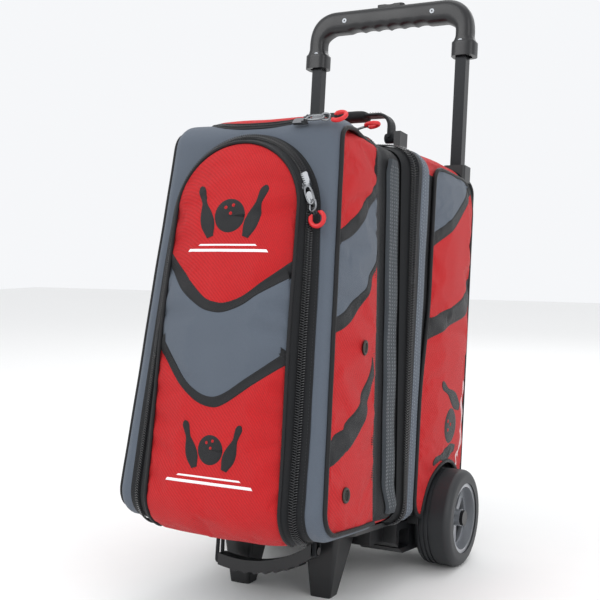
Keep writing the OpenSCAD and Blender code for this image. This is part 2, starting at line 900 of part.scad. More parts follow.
base_frame();
front_foot(-1);  // front_foot_left
front_foot(1);  // front_foot_right
wheel_bracket(-1);  // wheel_bracket_left
wheel_bracket(1);  // wheel_bracket_right
axle_rod();
base_screws();
rear_side(-1);  // rear_side_left
rear_side(1);  // rear_side_right
rear_top();
rear_bottom();
back_board();
rear_band();
ball_zip_chain();
outer_tubes();
tube_bezels();
tube_foot();
ball_cups();
ball_shelf();
carry_anchors();
mid_frame();
divider_board();
storm_flaps();
shoe_zip_chain();
front_side(-1);  // front_side_left
front_side(1);  // front_side_right
front_top();
front_bottom();
front_face();
pocket_liner();
pocket_zip_chain();
vent_eyelets();
pocket_panel();
top_flap();
middle_tubes();
inner_tubes();
lock_plugs();
grip_front_shell();
grip_back_shell();
grip_screws();
release_button();
push_rods();
button_spring();
tyre(-1);  // tyre_left
tyre(1);  // tyre_right
rim(-1);  // rim_left
rim(1);  // rim_right
hub_cap(-1);  // hub_cap_left
hub_cap(1);  // hub_cap_right
carry_handle();
grab_handle();
grab_straps();
at_pocket_slider() zip_slider();  // pocket_slider
at_pocket_slider() zip_pull();  // pocket_pull
at_top_slider() zip_slider();  // top_slider
at_top_slider() zip_pull();  // top_pull
at_shoe_slider() zip_slider();  // shoe_slider
at_shoe_slider() zip_pull(shoe_pull_lift);  // shoe_pull
at_ball_slider() zip_slider();  // ball_slider
at_ball_slider() zip_pull();  // ball_pull
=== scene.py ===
import json
import math
import bpy
import numpy as np
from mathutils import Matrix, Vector
from mathutils.bvhtree import BVHTree


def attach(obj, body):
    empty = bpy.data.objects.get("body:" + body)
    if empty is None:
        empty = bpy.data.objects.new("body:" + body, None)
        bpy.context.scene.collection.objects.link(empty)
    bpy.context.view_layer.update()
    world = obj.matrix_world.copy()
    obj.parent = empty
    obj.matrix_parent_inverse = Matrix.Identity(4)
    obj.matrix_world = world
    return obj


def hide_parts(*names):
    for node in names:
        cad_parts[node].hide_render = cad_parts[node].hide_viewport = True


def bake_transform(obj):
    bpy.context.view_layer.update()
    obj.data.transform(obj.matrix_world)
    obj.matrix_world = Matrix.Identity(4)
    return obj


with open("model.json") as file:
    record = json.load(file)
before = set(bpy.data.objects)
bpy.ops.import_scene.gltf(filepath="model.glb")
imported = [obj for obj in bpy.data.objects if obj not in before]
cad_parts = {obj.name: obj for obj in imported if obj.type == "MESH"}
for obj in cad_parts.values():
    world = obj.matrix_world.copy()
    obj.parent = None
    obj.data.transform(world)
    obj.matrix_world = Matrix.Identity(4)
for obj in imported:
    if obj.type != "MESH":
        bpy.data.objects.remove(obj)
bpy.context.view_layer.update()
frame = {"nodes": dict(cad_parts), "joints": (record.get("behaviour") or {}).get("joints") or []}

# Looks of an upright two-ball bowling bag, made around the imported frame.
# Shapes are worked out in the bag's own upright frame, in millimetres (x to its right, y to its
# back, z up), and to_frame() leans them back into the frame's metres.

# ---- the bag's own frame ----

JOINTS = {joint["name"]: joint for joint in frame["joints"]}
LEAN_SIN, LEAN_COS = JOINTS["trolley_middle_stage"]["axis"][1:]
# The carry handle's pivot, in the bag's own frame
CARRY_Y = 70
CARRY_Z = 576
MIDDLE_Y = CARRY_Y * LEAN_COS + CARRY_Z * LEAN_SIN - 1000 * JOINTS["carry_handle_swing"]["pos_m"][1]


def to_frame(points):
    """Points in the bag's own frame, in millimetres, as points in the row frame, in metres."""
    x, y, z = np.moveaxis(np.asarray(points, float), -1, 0)
    leaned = [x, y * LEAN_COS + z * LEAN_SIN - MIDDLE_Y, z * LEAN_COS - y * LEAN_SIN]
    return np.stack(leaned, -1) / 1000


def from_frame(points):
    """The opposite of to_frame: metres in the row frame to millimetres in the bag's own."""
    x, y, z = np.moveaxis(np.asarray(points, float) * 1000, -1, 0)
    y = y + MIDDLE_Y
    return np.stack([x, y * LEAN_COS - z * LEAN_SIN, y * LEAN_SIN + z * LEAN_COS], -1)


def bag_box(node):
    """Lowest and highest corners of a CAD node in the bag's own frame."""
    points = from_frame([v.co for v in frame["nodes"][node].data.vertices])
    return points.min(0), points.max(0)


# ---- curves ----

def unit(v):
    """Vectors scaled to length one."""
    return v / np.maximum(np.linalg.norm(v, axis=-1, keepdims=True), 1e-9)


def fillet(a, b, c, radius, steps=10):
    """Points on an arc of that radius that rounds the corner b between a and c."""
    u = unit(a - b)
    v = unit(c - b)
    half = math.acos(np.clip(u @ v, -1, 1)) / 2
    middle = b + unit(u + v) * radius / math.sin(half)
    p = b + u * radius / math.tan(half) - middle
    q = b + v * radius / math.tan(half) - middle
    turn = math.pi - 2 * half
    t = np.linspace(0, 1, steps + 1)[:, None]
    return middle + (np.sin((1 - t) * turn) * p + np.sin(t * turn) * q) / math.sin(turn)


def resample(points, step=None, count=None):
    """The same line with evenly spaced points."""
    points = np.asarray(points, float)
    far = np.concatenate([[0], np.cumsum(np.linalg.norm(np.diff(points, axis=0), axis=1))])
    count = count or max(2, int(round(far[-1] / step)) + 1)
    at = np.linspace(0, far[-1], count)
    return np.stack([np.interp(at, far, points[:, i]) for i in range(points.shape[1])], 1)


def rounded(points, radii, step):
    """A line through corner points, each inner corner rounded by its radius."""
    points = [np.asarray(p, float) for p in points]
    line = [points[0]]
    for a, b, c, radius in zip(points, points[1:], points[2:], radii):
        line.extend(fillet(a, b, c, radius) if radius else [b])
    line.append(points[-1])
    return resample(line, step)


def spline(points, count):
    """A smooth line through the points."""
    p = np.asarray(points, float)
    p = np.vstack([2 * p[0] - p[1], p, 2 * p[-1] - p[-2]])
    line = []
    for k in range(1, len(p) - 2):
        t = np.linspace(0, 1, 12, endpoint=False)[:, None]
        a, b, c, d = p[k - 1:k + 3]
        line.append(0.5 * (2 * b + (c - a) * t + (2 * a - 5 * b + 4 * c - d) * t ** 2
                           + (3 * b - a - 3 * c + d) * t ** 3))
    line.append(p[-2:-1])
    return resample(np.vstack(line), count=count)


def smooth_step(value, low, high):
    """0 below low, 1 above high and a smooth rise between."""
    t = np.clip((np.asarray(value, float) - low) / (high - low), 0, 1)
    return t * t * (3 - 2 * t)


def folds(a, b, seed, length, strength=1.0):
    """Soft wrinkles over two surface coordinates: a few crossing waves with fixed phases."""
    draw = np.random.RandomState(seed)
    total = np.zeros(np.broadcast(a, b).shape)
    for _ in range(7):
        heading = draw.uniform(0, math.pi)
        wave = length * draw.uniform(0.6, 1.9)
        phase = draw.uniform(0, 2 * math.pi)
        across = a * math.sin(heading) - b * math.cos(heading)
        bend = 0.5 * np.sin(2 * math.pi * across / (3 * wave) + phase)
        total += np.sin(2 * math.pi * (a * math.cos(heading) + b * math.sin(heading)) / wave + phase + bend)
    return strength * total / 7


# ---- meshes ----

class Build:
    """Gathers points, faces, cloth coordinates (mm) and materials into one piece."""

    def __init__(self):
        self.points = []
        self.cloth = []
        self.faces = []
        self.kinds = []
        self.materials = []
        self.count = 0

    def add(self, points, faces, cloth, material):
        """material is one material or, for each face, one of a list's materials and its numbers."""
        if isinstance(material, tuple):
            materials, numbers = material
        else:
            materials, numbers = [material], np.zeros(len(faces), int)
        for m in materials:
            if m not in self.materials:
                self.materials.append(m)
        slots = np.array([self.materials.index(m) for m in materials])
        self.points.append(np.asarray(points, float).reshape(-1, 3))
        self.cloth.append(np.asarray(cloth, float).reshape(-1, 2))
        self.faces.extend((np.asarray(faces) + self.count).tolist())
        self.kinds.extend(slots[np.asarray(numbers, int)].tolist())
        self.count += len(self.points[-1])

    def grid(self, points, material, cloth=None, flip=False):
        rows, cols = points.shape[:2]
        cloth = lengths(points) if cloth is None else cloth
        self.add(points, quads(rows, cols, flip), cloth, material)

    def slab(self, points, normals, thickness, material, under=None, cloth=None):
        """A sheet with a real thickness: its face, its underside and its cut edges."""
        rows, cols = points.shape[:2]
        cloth = lengths(points) if cloth is None else cloth
        under = under or (material[0][0] if isinstance(material, tuple) else material)
        back = points - normals * (thickness[..., None] if np.ndim(thickness) else thickness)
        flip = facing(points, normals) < 0
        self.add(points, quads(rows, cols, flip), cloth, material)
        self.add(back, quads(rows, cols, not flip), cloth, under)
        rim = np.concatenate([np.arange(cols), np.arange(1, rows) * cols + cols - 1,
                              (rows - 1) * cols + np.arange(cols - 2, -1, -1),
                              np.arange(rows - 2, -1, -1) * cols])
        edge = np.stack([points.reshape(-1, 3)[rim], back.reshape(-1, 3)[rim]])
        around = cloth.reshape(-1, 2)[rim]
        self.add(edge, quads(2, len(rim), flip), np.stack([around, around]), under)

    def tube(self, path, radius, material, sides=10, closed=False):
        path = np.asarray(path, float)
        if closed:
            path = np.vstack([path[-2:-1], path, path[1:2]])
        along = unit(np.gradient(path, axis=0))
        side = np.zeros_like(path)
        side[0] = unit(np.cross(along[0], [0.3, 0.5, 0.81]))
        for k in range(1, len(path)):
            side[k] = unit(side[k - 1] - along[k] * (side[k - 1] @ along[k]))
        if closed:
            path, along, side = path[1:-1], along[1:-1], side[1:-1]
        other = np.cross(along, side)
        angle = np.linspace(0, 2 * math.pi, sides + 1)[None, :, None]
        width = np.broadcast_to(radius, len(path))[:, None, None]
        ring = path[:, None] + width * (np.cos(angle) * side[:, None] + np.sin(angle) * other[:, None])
        self.grid(ring, material)
        if not closed:
            for end, flip in ((0, False), (-1, True)):
                cap = np.stack([ring[end], np.repeat(path[end][None], sides + 1, 0)])
                self.grid(cap, material, flip=flip)

    def beads(self, places, along, across, size, material, segments=6, rings=4):
        """One small rounded bead at each place, of half sizes size = (along, across, up)."""
        up = np.cross(along, across)
        phi = np.linspace(0, math.pi, rings + 1)[:, None]
        theta = np.linspace(0, 2 * math.pi, segments + 1)[None]
        shape = np.stack([np.sin(phi) * np.cos(theta), np.cos(phi) + 0 * theta,
                          np.sin(phi) * np.sin(theta)], -1)
        for p, a, b, c in zip(places, along, across, up):
            local = shape * size
            ball = p + local[..., :1] * a + local[..., 1:2] * b + local[..., 2:] * c
            self.grid(ball, material, cloth=local[..., :2])

    def done(self, name, body=None, replaces=(), smooth=True):
        mesh = bpy.data.meshes.new(name)
        points = to_frame(np.vstack(self.points))
        mesh.from_pydata(points.tolist(), [], self.faces)
        layer = mesh.uv_layers.new(name="cloth")
        corners = np.empty(len(mesh.loops), int)
        mesh.loops.foreach_get("vertex_index", corners)
        layer.data.foreach_set("uv", np.vstack(self.cloth)[corners].ravel())
        mesh.polygons.foreach_set("material_index", self.kinds)
        mesh.polygons.foreach_set("use_smooth", [smooth] * len(mesh.polygons))
        for material in self.materials:
            mesh.materials.append(material)
        weld(mesh)
        piece = bpy.data.objects.new(name, mesh)
        bpy.context.scene.collection.objects.link(piece)
        if smooth:
            mesh.set_sharp_from_angle(angle=math.radians(50))
        if body:
            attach(piece, body)
        if replaces:
            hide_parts(*replaces)
        return piece


def weld(mesh):
    """Joins points that lie on each other and drops faces with no area."""
    import bmesh
    shape = bmesh.new()
    shape.from_mesh(mesh)
    bmesh.ops.remove_doubles(shape, verts=shape.verts, dist=2e-6)
    bmesh.ops.dissolve_degenerate(shape, edges=shape.edges, dist=1e-6)
    shape.to_mesh(mesh)
    shape.free()


def quads(rows, cols, flip=False):
    k = np.arange((rows - 1) * cols).reshape(rows - 1, cols)[:, :-1].ravel()
    faces = np.stack([k, k + 1, k + cols + 1, k + cols], 1)
    return faces[:, ::-1] if flip else faces


def facing(points, normals):
    """Above 0 where the grid's own face order agrees with the normals."""
    across = points[:-1, 1:] - points[:-1, :-1]
    down = points[1:, :-1] - points[:-1, :-1]
    return (np.cross(across, down) * normals[:-1, :-1]).sum()


def lengths(points):
    """Cloth coordinates of a grid: the distance along its rows and columns, in millimetres."""
    rows, cols = points.shape[:2]
    across = np.linalg.norm(np.diff(points, axis=1), axis=2).mean(0)
    down = np.linalg.norm(np.diff(points, axis=0), axis=2).mean(1)
    u = np.concatenate([[0], np.cumsum(across)])
    v = np.concatenate([[0], np.cumsum(down)])
    return np.stack(np.broadcast_arrays(u[None], v[:, None]), -1)


def grid_normals(points, outward):
    """Normals of a grid, turned to agree with a rough outward direction."""
    down = np.gradient(points, axis=0)
    across = np.gradient(points, axis=1)
    normals = unit(np.cross(down, across))
    outward = np.broadcast_to(np.asarray(outward, float), points.shape)
    return normals * np.sign((normals * outward).sum(-1, keepdims=True) + 1e-9)


class Surface:
    """Fabric already made, which strips, stitches and marks are laid on."""

    def __init__(self, *grids):
        points = np.vstack([g.reshape(-1, 3) for g in grids])
        faces = []
        first = 0
        for g in grids:
            faces.extend((quads(*g.shape[:2]) + first).tolist())
            first += g.shape[0] * g.shape[1]
        self.tree = BVHTree.FromPolygons(points.tolist(), faces)

    def drop(self, points, toward):
        """Where the points land going toward that direction, and the surface's normal there."""
        points = np.asarray(points, float)
        flat = points.reshape(-1, 3)
        toward = np.broadcast_to(unit(np.asarray(toward, float)), points.shape).reshape(-1, 3)
        landed = flat.copy()
        normals = -toward.copy()
        for k, (p, d) in enumerate(zip(flat, toward)):
            hit, normal = self.tree.ray_cast(Vector(p - d * 90), Vector(d))[:2]
            if hit is None:
                hit, normal = self.tree.find_nearest(Vector(p))[:2]
            landed[k] = hit
            normals[k] = np.array(normal) * (-1 if np.dot(normal, d) > 0 else 1)
        return landed.reshape(points.shape), normals.reshape(points.shape)


# ---- materials ----

class Nodes:
    """Short forms for the shader nodes that the materials share."""

    def __init__(self, name, colour, roughness, metallic=0.0, coat=0.0, sheen=0.0, specular=0.5):
        self.material = bpy.data.materials.new(name)
        self.material.use_nodes = True
        self.tree = self.material.node_tree
        self.shader = self.tree.nodes["Principled BSDF"]
        self.put("Base Color", colour)
        self.put("Roughness", roughness)
        self.put("Metallic", metallic)
        self.put("Coat Weight", coat)
        self.put("Sheen Weight", sheen)
        self.put("Specular IOR Level", specular)

    def put(self, socket, value):
        if isinstance(value, bpy.types.NodeSocket):
            self.tree.links.new(value, self.shader.inputs[socket])
        else:
            self.shader.inputs[socket].default_value = value

    def link(self, value, socket):
        if isinstance(value, bpy.types.NodeSocket):
            self.tree.links.new(value, socket)
        else:
            socket.default_value = value

    def math(self, operation, a, b=0.0, c=0.0):
        node = self.tree.nodes.new("ShaderNodeMath")
        node.operation = operation
        for value, socket in zip((a, b, c), node.inputs):
            self.link(value, socket)
        return node.outputs[0]

    def cloth(self):
        """Cloth coordinates in millimetres, as two numbers."""
        node = self.tree.nodes.new("ShaderNodeUVMap")
        node.uv_map = "cloth"
        split = self.tree.nodes.new("ShaderNodeSeparateXYZ")
        self.tree.links.new(node.outputs[0], split.inputs[0])
        return split.outputs[0], split.outputs[1]

    def place(self):
        return self.tree.nodes.new("ShaderNodeTexCoord").outputs["Object"]

    def noise(self, size_mm, detail=3.0, where=None):
        node = self.tree.nodes.new("ShaderNodeTexNoise")
        self.tree.links.new(where or self.place(), node.inputs["Vector"])
        node.inputs["Scale"].default_value = 1000 / size_mm
        node.inputs["Detail"].default_value = detail
        return node.outputs["Fac"]

    def between(self, factor, low, high):
        """A colour between two, as factor goes from 0 to 1."""
        ramp = self.tree.nodes.new("ShaderNodeValToRGB")
        ramp.color_ramp.elements[0].color = low
        ramp.color_ramp.elements[1].color = high
        self.tree.links.new(factor, ramp.inputs[0])
        return ramp.outputs[0]

    def bump(self, height, depth_mm, strength=1.0):
        node = self.tree.nodes.new("ShaderNodeBump")
        node.inputs["Distance"].default_value = depth_mm / 1000
        node.inputs["Strength"].default_value = strength
        self.link(height, node.inputs["Height"])
        self.put("Normal", node.outputs[0])


def rgb(text, scale=1.0):
    """A display colour such as 'd9252b' as a linear one."""
    values = [int(text[k:k + 2], 16) / 255 for k in (0, 2, 4)]
    return (*[scale * (v / 12.92 if v < 0.04045 else ((v + 0.055) / 1.055) ** 2.4) for v in values], 1)


def woven(name, text, pitch, depth, contrast, roughness, sheen=0.2, step=4, blotch=0.12):
    """Twill or plain weave of round threads: step 4 is a 2/2 twill and step 2 a plain weave."""
    m = Nodes(name, rgb(text), roughness, sheen=sheen, specular=0.35)
    u, v = m.cloth()
    x = m.math("DIVIDE", u, pitch)
    y = m.math("DIVIDE", v, pitch)
    diagonal = m.math("ADD", m.math("FLOOR", x), m.math("FLOOR", y))
    over = m.math("LESS_THAN", m.math("FLOORED_MODULO", diagonal, float(step)), step / 2)
    warp = m.math("SINE", m.math("MULTIPLY", m.math("FRACT", x), math.pi))
    weft = m.math("SINE", m.math("MULTIPLY", m.math("FRACT", y), math.pi))
    high = m.math("MULTIPLY", warp, over)
    low = m.math("MULTIPLY", m.math("MULTIPLY", weft, 0.72), m.math("SUBTRACT", 1.0, over))
    height = m.math("ADD", high, low)
    worn = m.math("MULTIPLY", m.math("SUBTRACT", m.noise(38), 0.5), blotch)
    yarn = m.math("MULTIPLY", m.math("SUBTRACT", m.noise(2.2, 1.0), 0.5), 0.25)
    # Colour follows the thread height: painted highlight on the thread tops, brighter on the warp floats as
    # painted glints, and painted shade in the gaps between threads, plus random blotches and yarn tone
    painted_light_and_tone = m.math("ADD", m.math("ADD", height, worn), yarn)
    m.put("Base Color", m.between(painted_light_and_tone, rgb(text, 1 - contrast), rgb(text, 1 + 0.55 * contrast)))
    m.bump(height, depth)
    return m.material


def grosgrain(name, text, pitch=1.1, roughness=0.62, depth=0.25):
    """Ribbed binding tape: ribs across, fine threads along."""
    m = Nodes(name, rgb(text), roughness, sheen=0.03, specular=0.3)
    u, v = m.cloth()
    ribs = m.math("SINE", m.math("MULTIPLY", m.math("FRACT", m.math("DIVIDE", v, pitch)), math.pi))
    threads = m.math("SINE", m.math("MULTIPLY", m.math("FRACT", m.math("DIVIDE", u, 0.55)), math.pi))
    height = m.math("ADD", m.math("MULTIPLY", ribs, 0.75), m.math("MULTIPLY", threads, 0.25))
    # Colour follows the rib height: painted highlight on the rib tops and painted shade between the ribs,
    # plus random tone
    painted_light_and_tone = m.math("ADD", height, m.math("MULTIPLY", m.math("SUBTRACT", m.noise(20), 0.5), 0.3))
    m.put("Base Color", m.between(painted_light_and_tone, rgb(text, 0.55), rgb(text, 1.5)))
    m.bump(height, depth)
    return m.material


def moulded(name, text, roughness, grain_mm, depth, coat=0.0, metallic=0.0, wear=0.15, specular=0.5):
    """Moulded plastic, rubber, foam or cast metal: fine grain and slightly uneven gloss."""
    m = Nodes(name, rgb(text), roughness, coat=coat, metallic=metallic, specular=specular)
    grain = m.noise(grain_mm, 4.0)
    patch = m.noise(45, 2.0)
    m.put("Base Color", m.between(patch, rgb(text, 1 - wear), rgb(text, 1 + wear)))
    m.put("Roughness", m.math("ADD", roughness - 0.08, m.math("MULTIPLY", patch, 0.16)))
    m.bump(grain, depth)
    return m.material


def brushed(name, text, roughness, metallic=1.0):
    """Drawn or brushed metal: long fine scratches along the tube or wire."""
    m = Nodes(name, rgb(text), roughness, metallic=metallic)
    stretch = m.tree.nodes.new("ShaderNodeMapping")
    stretch.inputs["Scale"].default_value = (1, 1, 0.03)
    m.tree.links.new(m.place(), stretch.inputs[0])
    scratch = m.noise(0.6, 3.0, stretch.outputs[0])
    m.put("Roughness", m.math("ADD", roughness - 0.1, m.math("MULTIPLY", scratch, 0.2)))
    m.put("Base Color", m.between(scratch, rgb(text, 0.88), rgb(text, 1.08)))
    m.bump(scratch, 0.02)
    return m.material


RED = woven("red_twill", "c60d15", 1.1, 0.4, 0.5, 0.62, sheen=0.04)
SLATE = woven("slate_weave", "57606c", 0.8, 0.16, 0.25, 0.7, sheen=0.1, step=2)
BLACK = woven("black_ballistic", "101216", 1.0, 0.3, 0.45, 0.6, sheen=0.03, step=2)
GREY = woven("grey_flap_weave", "3c4248", 1.0, 0.35, 0.5, 0.66, sheen=0.08, step=2)
LINING = woven("black_lining", "15171b", 0.6, 0.08, 0.25, 0.5, sheen=0.06, step=2)
TAPE = grosgrain("zip_tape", "0e1013")
PIPING = grosgrain("black_piping", "0c0d10", pitch=1.4, roughness=0.45)
WEBBING = grosgrain("black_webbing", "101216", pitch=1.8, roughness=0.5, depth=0.4)
APPLIQUE = woven("black_applique", "0e0f13", 0.7, 0.12, 0.3, 0.5, sheen=0.05, step=2)
COIL = moulded("zip_coil", "17181b", 0.25, 0.8, 0.02, coat=0.5)
THREAD = moulded("light_thread", "9da3a8", 0.6, 0.4, 0.05)
DARK_THREAD = moulded("dark_thread", "1c1e22", 0.6, 0.4, 0.05)
WHITE = grosgrain("white_print", "dfe0e2", pitch=0.7, roughness=0.5, depth=0.08)
NICKEL = brushed("nickel", "85878a", 0.3)
STEEL = brushed("bare_steel", "8b8e92", 0.34)
EYELET = brushed("gunmetal", "4a4845", 0.38)
RUBBER = moulded("red_pull_rubber", "c8141b", 0.42, 0.5, 0.03, coat=0.1)
PLASTIC = moulded("black_plastic", "0f1013", 0.38, 0.7, 0.05, coat=0.08)
TUBE = brushed("black_anodised", "16181b", 0.32, metallic=0.6)
URETHANE = moulded("charcoal_urethane", "232528", 0.5, 0.9, 0.05)
RIM = moulded("silver_paint", "94979c", 0.35, 0.5, 0.015, coat=0.4, metallic=0.45, wear=0.06)
FOAM = moulded("black_foam", "1b1d20", 0.85, 1.4, 0.25, specular=0.2)
BOARD = moulded("black_board", "1b1d20", 0.7, 1.0, 0.12, specular=0.3)

# ---- studio ----

def make_studio():
    """Pale floor, white world, soft lamps and the camera at the photo's angle."""
    floor_mesh = bpy.data.meshes.new("studio_floor")
    edge = 6
    corners = [(-edge, -edge, 0), (edge, -edge, 0), (edge, edge, 0), (-edge, edge, 0)]
    floor_mesh.from_pydata(corners, [], [(0, 1, 2, 3)])
    floor = bpy.data.objects.new("studio_floor", floor_mesh)
    bpy.context.scene.collection.objects.link(floor)
    floor_mesh.materials.append(moulded("studio_paper", "f1f1f0", 0.85, 2.0, 0.02, wear=0.01, specular=0.2))
    world = bpy.data.worlds.new("studio")
    bpy.context.scene.world = world
    world.use_nodes = True
    world.node_tree.nodes["Background"].inputs[0].default_value = (0.97, 0.98, 1.0, 1)
    world.node_tree.nodes["Background"].inputs[1].default_value = 0.95
    # name, place, size and power; each lamp faces the same point above the floor
    lamps = [("key", (-1.3, -2.2, 2.3), 1.6, 26), ("fill", (2.3, -1.2, 1.5), 1.8, 15),
             ("top", (0.2, 0.3, 2.9), 1.8, 16), ("back", (-0.4, 2.4, 1.9), 1.5, 9)]
    for name, place, size, power in lamps:
        light = bpy.data.lights.new(name, "AREA")
        light.energy = power
        light.size = size
        lamp = bpy.data.objects.new(name, light)
        lamp.location = place
        lamp.rotation_euler = (Vector((0, 0, 0.35)) - Vector(place)).to_track_quat("-Z", "Y").to_euler()
        bpy.context.scene.collection.objects.link(lamp)
    camera = bpy.data.objects.new("camera", bpy.data.cameras.new("camera"))
    camera.location = (0.617, -1.112 - MIDDLE_Y / 1000, 0.432)
    camera.rotation_euler = (math.radians(90 - 3.33), 0, math.radians(28.3))
    camera.data.lens = 61.8
    bpy.context.scene.collection.objects.link(camera)
    bpy.context.scene.camera = camera
    bpy.context.scene.view_settings.view_transform = "Standard"


make_studio()

# ---- front section: sizes ----

FACE_LOW, FACE_HIGH = bag_box("front_face")
BACK_LOW, BACK_HIGH = bag_box("mid_frame")
REAR_LOW, REAR_HIGH = bag_box("rear_side_right")
BOARD_HIGH = bag_box("back_board")[1]
FRONT_LOW = FACE_LOW[2]
FACE_Y = FACE_LOW[1]
SHOE_Y = BACK_LOW[1]
BALL_Y = BACK_HIGH[1]
TOP_Z = BACK_HIGH[2] + 2
HALF_LOW = FACE_HIGH[0]
HALF_TOP = HALF_LOW - 25
FRONT_HIGH = TOP_Z + 9
FACE_TOP_Y = FACE_Y + 43
SHOULDER_Z = FRONT_HIGH - 6
FACE_TILT = math.atan((FACE_TOP_Y - FACE_Y) / (SHOULDER_Z - FRONT_LOW))
LOW_R = 34
TOP_R = 30
EDGE_R = 12
# How far round the edge the piping sits
PIPING_TURN = math.radians(75)
FABRIC = 3


def half_width(z):
    """Half the front section's width at a height."""
    t = np.clip((np.asarray(z, float) - FRONT_LOW) / (FRONT_HIGH - FRONT_LOW), 0, 1)
    return HALF_LOW + (HALF_TOP - HALF_LOW) * t


# The front section's outline from the side: under it, up its face and over its top
PROFILE = rounded([(SHOE_Y - 1, FRONT_LOW), (FACE_Y, FRONT_LOW), (FACE_TOP_Y, SHOULDER_Z),
                   (FACE_TOP_Y + 42, FRONT_HIGH), (SHOE_Y - 1, TOP_Z + 1)], [LOW_R, TOP_R, 60], 4.5)
PROFILE_RUN = np.concatenate([[0], np.cumsum(np.linalg.norm(np.diff(PROFILE, axis=0), axis=1))])
PROFILE_AHEAD = unit(np.gradient(PROFILE, axis=0))
# Distance along the profile at which the face's own measure, up from its lower edge, is nought
UP_START = PROFILE_RUN[np.argmin(np.abs(PROFILE[:, 1] - 300) + 1000 * (PROFILE[:, 0] > -100))] \
    - (300 - FRONT_LOW) / math.cos(FACE_TILT)


def on_front(x, up, out=0.0):
    """Points on the front section from x and the distance up its face, standing out by out."""
    x, up, out = np.broadcast_arrays(np.asarray(x, float), up, out)
    run = up + UP_START
    y = np.interp(run, PROFILE_RUN, PROFILE[:, 0])
    z = np.interp(run, PROFILE_RUN, PROFILE[:, 1])
    ahead = unit(np.stack([np.interp(run, PROFILE_RUN, PROFILE_AHEAD[:, 0]),
                           np.interp(run, PROFILE_RUN, PROFILE_AHEAD[:, 1])], -1))
    return np.stack([x, y - out * ahead[..., 1], z + out * ahead[..., 0]], -1)


def front_normal(x, up):
    """Outward direction of the front face."""
    return unit(on_front(x, up, 1.0) - on_front(x, up, 0.0))


# ---- front section: the wrap that runs under it, up its face and over its top ----

def pocket_half(up):
    """Half the width of the accessory pocket's panel."""
    return np.interp(up, [0, 40, 290, 356], [87, 87, 82, 80])


ARCH_UP = 356
ARCH_R = 80
POCKET_LOW = -14
WINDOW_LOW = 34


def make_wrap():
    """Front, top and bottom of the front section as one sheet."""
    runs = PROFILE_RUN
    ups = runs - UP_START
    z = PROFILE[:, 1]
    width = half_width(z)
    edge = EDGE_R + 6 * smooth_step(ups, 450, 540)
    flat = np.linspace(-1, 1, 49)
    turns = np.linspace(0, PIPING_TURN, 8)[1:]
    x = np.concatenate([-np.ones(7), flat, np.ones(7)])[None] * (width - edge)[:, None]
    turn = np.concatenate([-turns[::-1], np.zeros(49), turns])[None]
    x = x + np.sin(turn) * edge[:, None]
    drop = (1 - np.cos(turn)) * edge[:, None]
    up = np.broadcast_to(ups[:, None], x.shape)
    ripple = folds(x, up, 3, 90, 1.3) * smooth_step(up, 430, 500)
    ripple += folds(x * 2.2, up, 4, 120, 1.1) * smooth_step(np.abs(x), 92, 108)
    points = on_front(x, up, ripple - drop)
    normals = grid_normals(points, front_normal(x, up))
    # The accessory pocket opens into the bag through a window in the face
    centre_x = (x[:-1, :-1] + x[1:, 1:]) / 2
    centre_up = (up[:-1, :-1] + up[1:, 1:]) / 2
    inside = (np.abs(centre_x) < 70) & (centre_up > WINDOW_LOW + 2) & (centre_up < ARCH_UP)
    inside |= (np.hypot(centre_x, centre_up - ARCH_UP) < 68) & (centre_up >= ARCH_UP)
    # The top pocket's window under its flap
    inside |= (np.abs(centre_x) < 66) & (centre_up > FLAP_UP[0] + 12) & (centre_up < FLAP_UP[1] - 10)
    cloth = lengths(points).reshape(-1, 2)
    keep = ~inside.ravel()
    wrap = Build()
    rows, cols = points.shape[:2]
    front = facing(points, normals) < 0
    wrap.add(points, quads(rows, cols, front)[keep], cloth, SLATE)
    wrap.add(points - normals * FABRIC, quads(rows, cols, not front)[keep], cloth, LINING)
    for k in (0, -1):
        edges = np.stack([points[k], points[k] - normals[k] * FABRIC])
        wrap.grid(edges, LINING)
    wrap.done("front_wrap", "shoe_door", ["front_top", "front_bottom", "front_face"])
    seams = {}
    for side, col in ((-1, 0), (1, -1)):
        seams[side] = points[:, col]
    return points, seams


# Extent of the top pocket's flap along the profile, and its half width
FLAP_LOW, FLAP_HIGH = bag_box("top_flap")


def up_at(y):
    """Distance along the profile, measured up the face, of the top at that y."""
    top = PROFILE[:, 1] > 500
    return np.interp(y, PROFILE[top, 0], PROFILE_RUN[top]) - UP_START


FLAP_UP = (up_at(FLAP_LOW[1] + 1.0), up_at(FLAP_HIGH[1]))
WRAP, SEAMS = make_wrap()
WRAP_SURFACE = Surface(WRAP)


# ---- front section: side panels ----

# Edges of the black swooshes across the front section's side, as (y, z)
SWOOSH_UP = ([(-160, 421), (-132, 436), (-98, 463), (-76, 481), (-46, 507)],
             [(-160, 408), (-122, 425), (-91, 450), (-63, 473), (-46, 490)])
SWOOSH_MID = ([(-170, 325), (-136, 341), (-99, 366), (-70, 392), (-46, 420)],
              [(-170, 309), (-131, 326), (-92, 356), (-66, 383), (-46, 402)])
CRESCENT = ([(-64, 293), (-81, 269), (-96, 249), (-129, 222), (-168, 200)],
            [(-60, 267), (-74, 240), (-92, 218), (-121, 195), (-168, 170)])


def height_on(curve, y):
    ys, zs = np.asarray(curve, float).T
    order = np.argsort(ys)
    return np.interp(y, ys[order], zs[order])


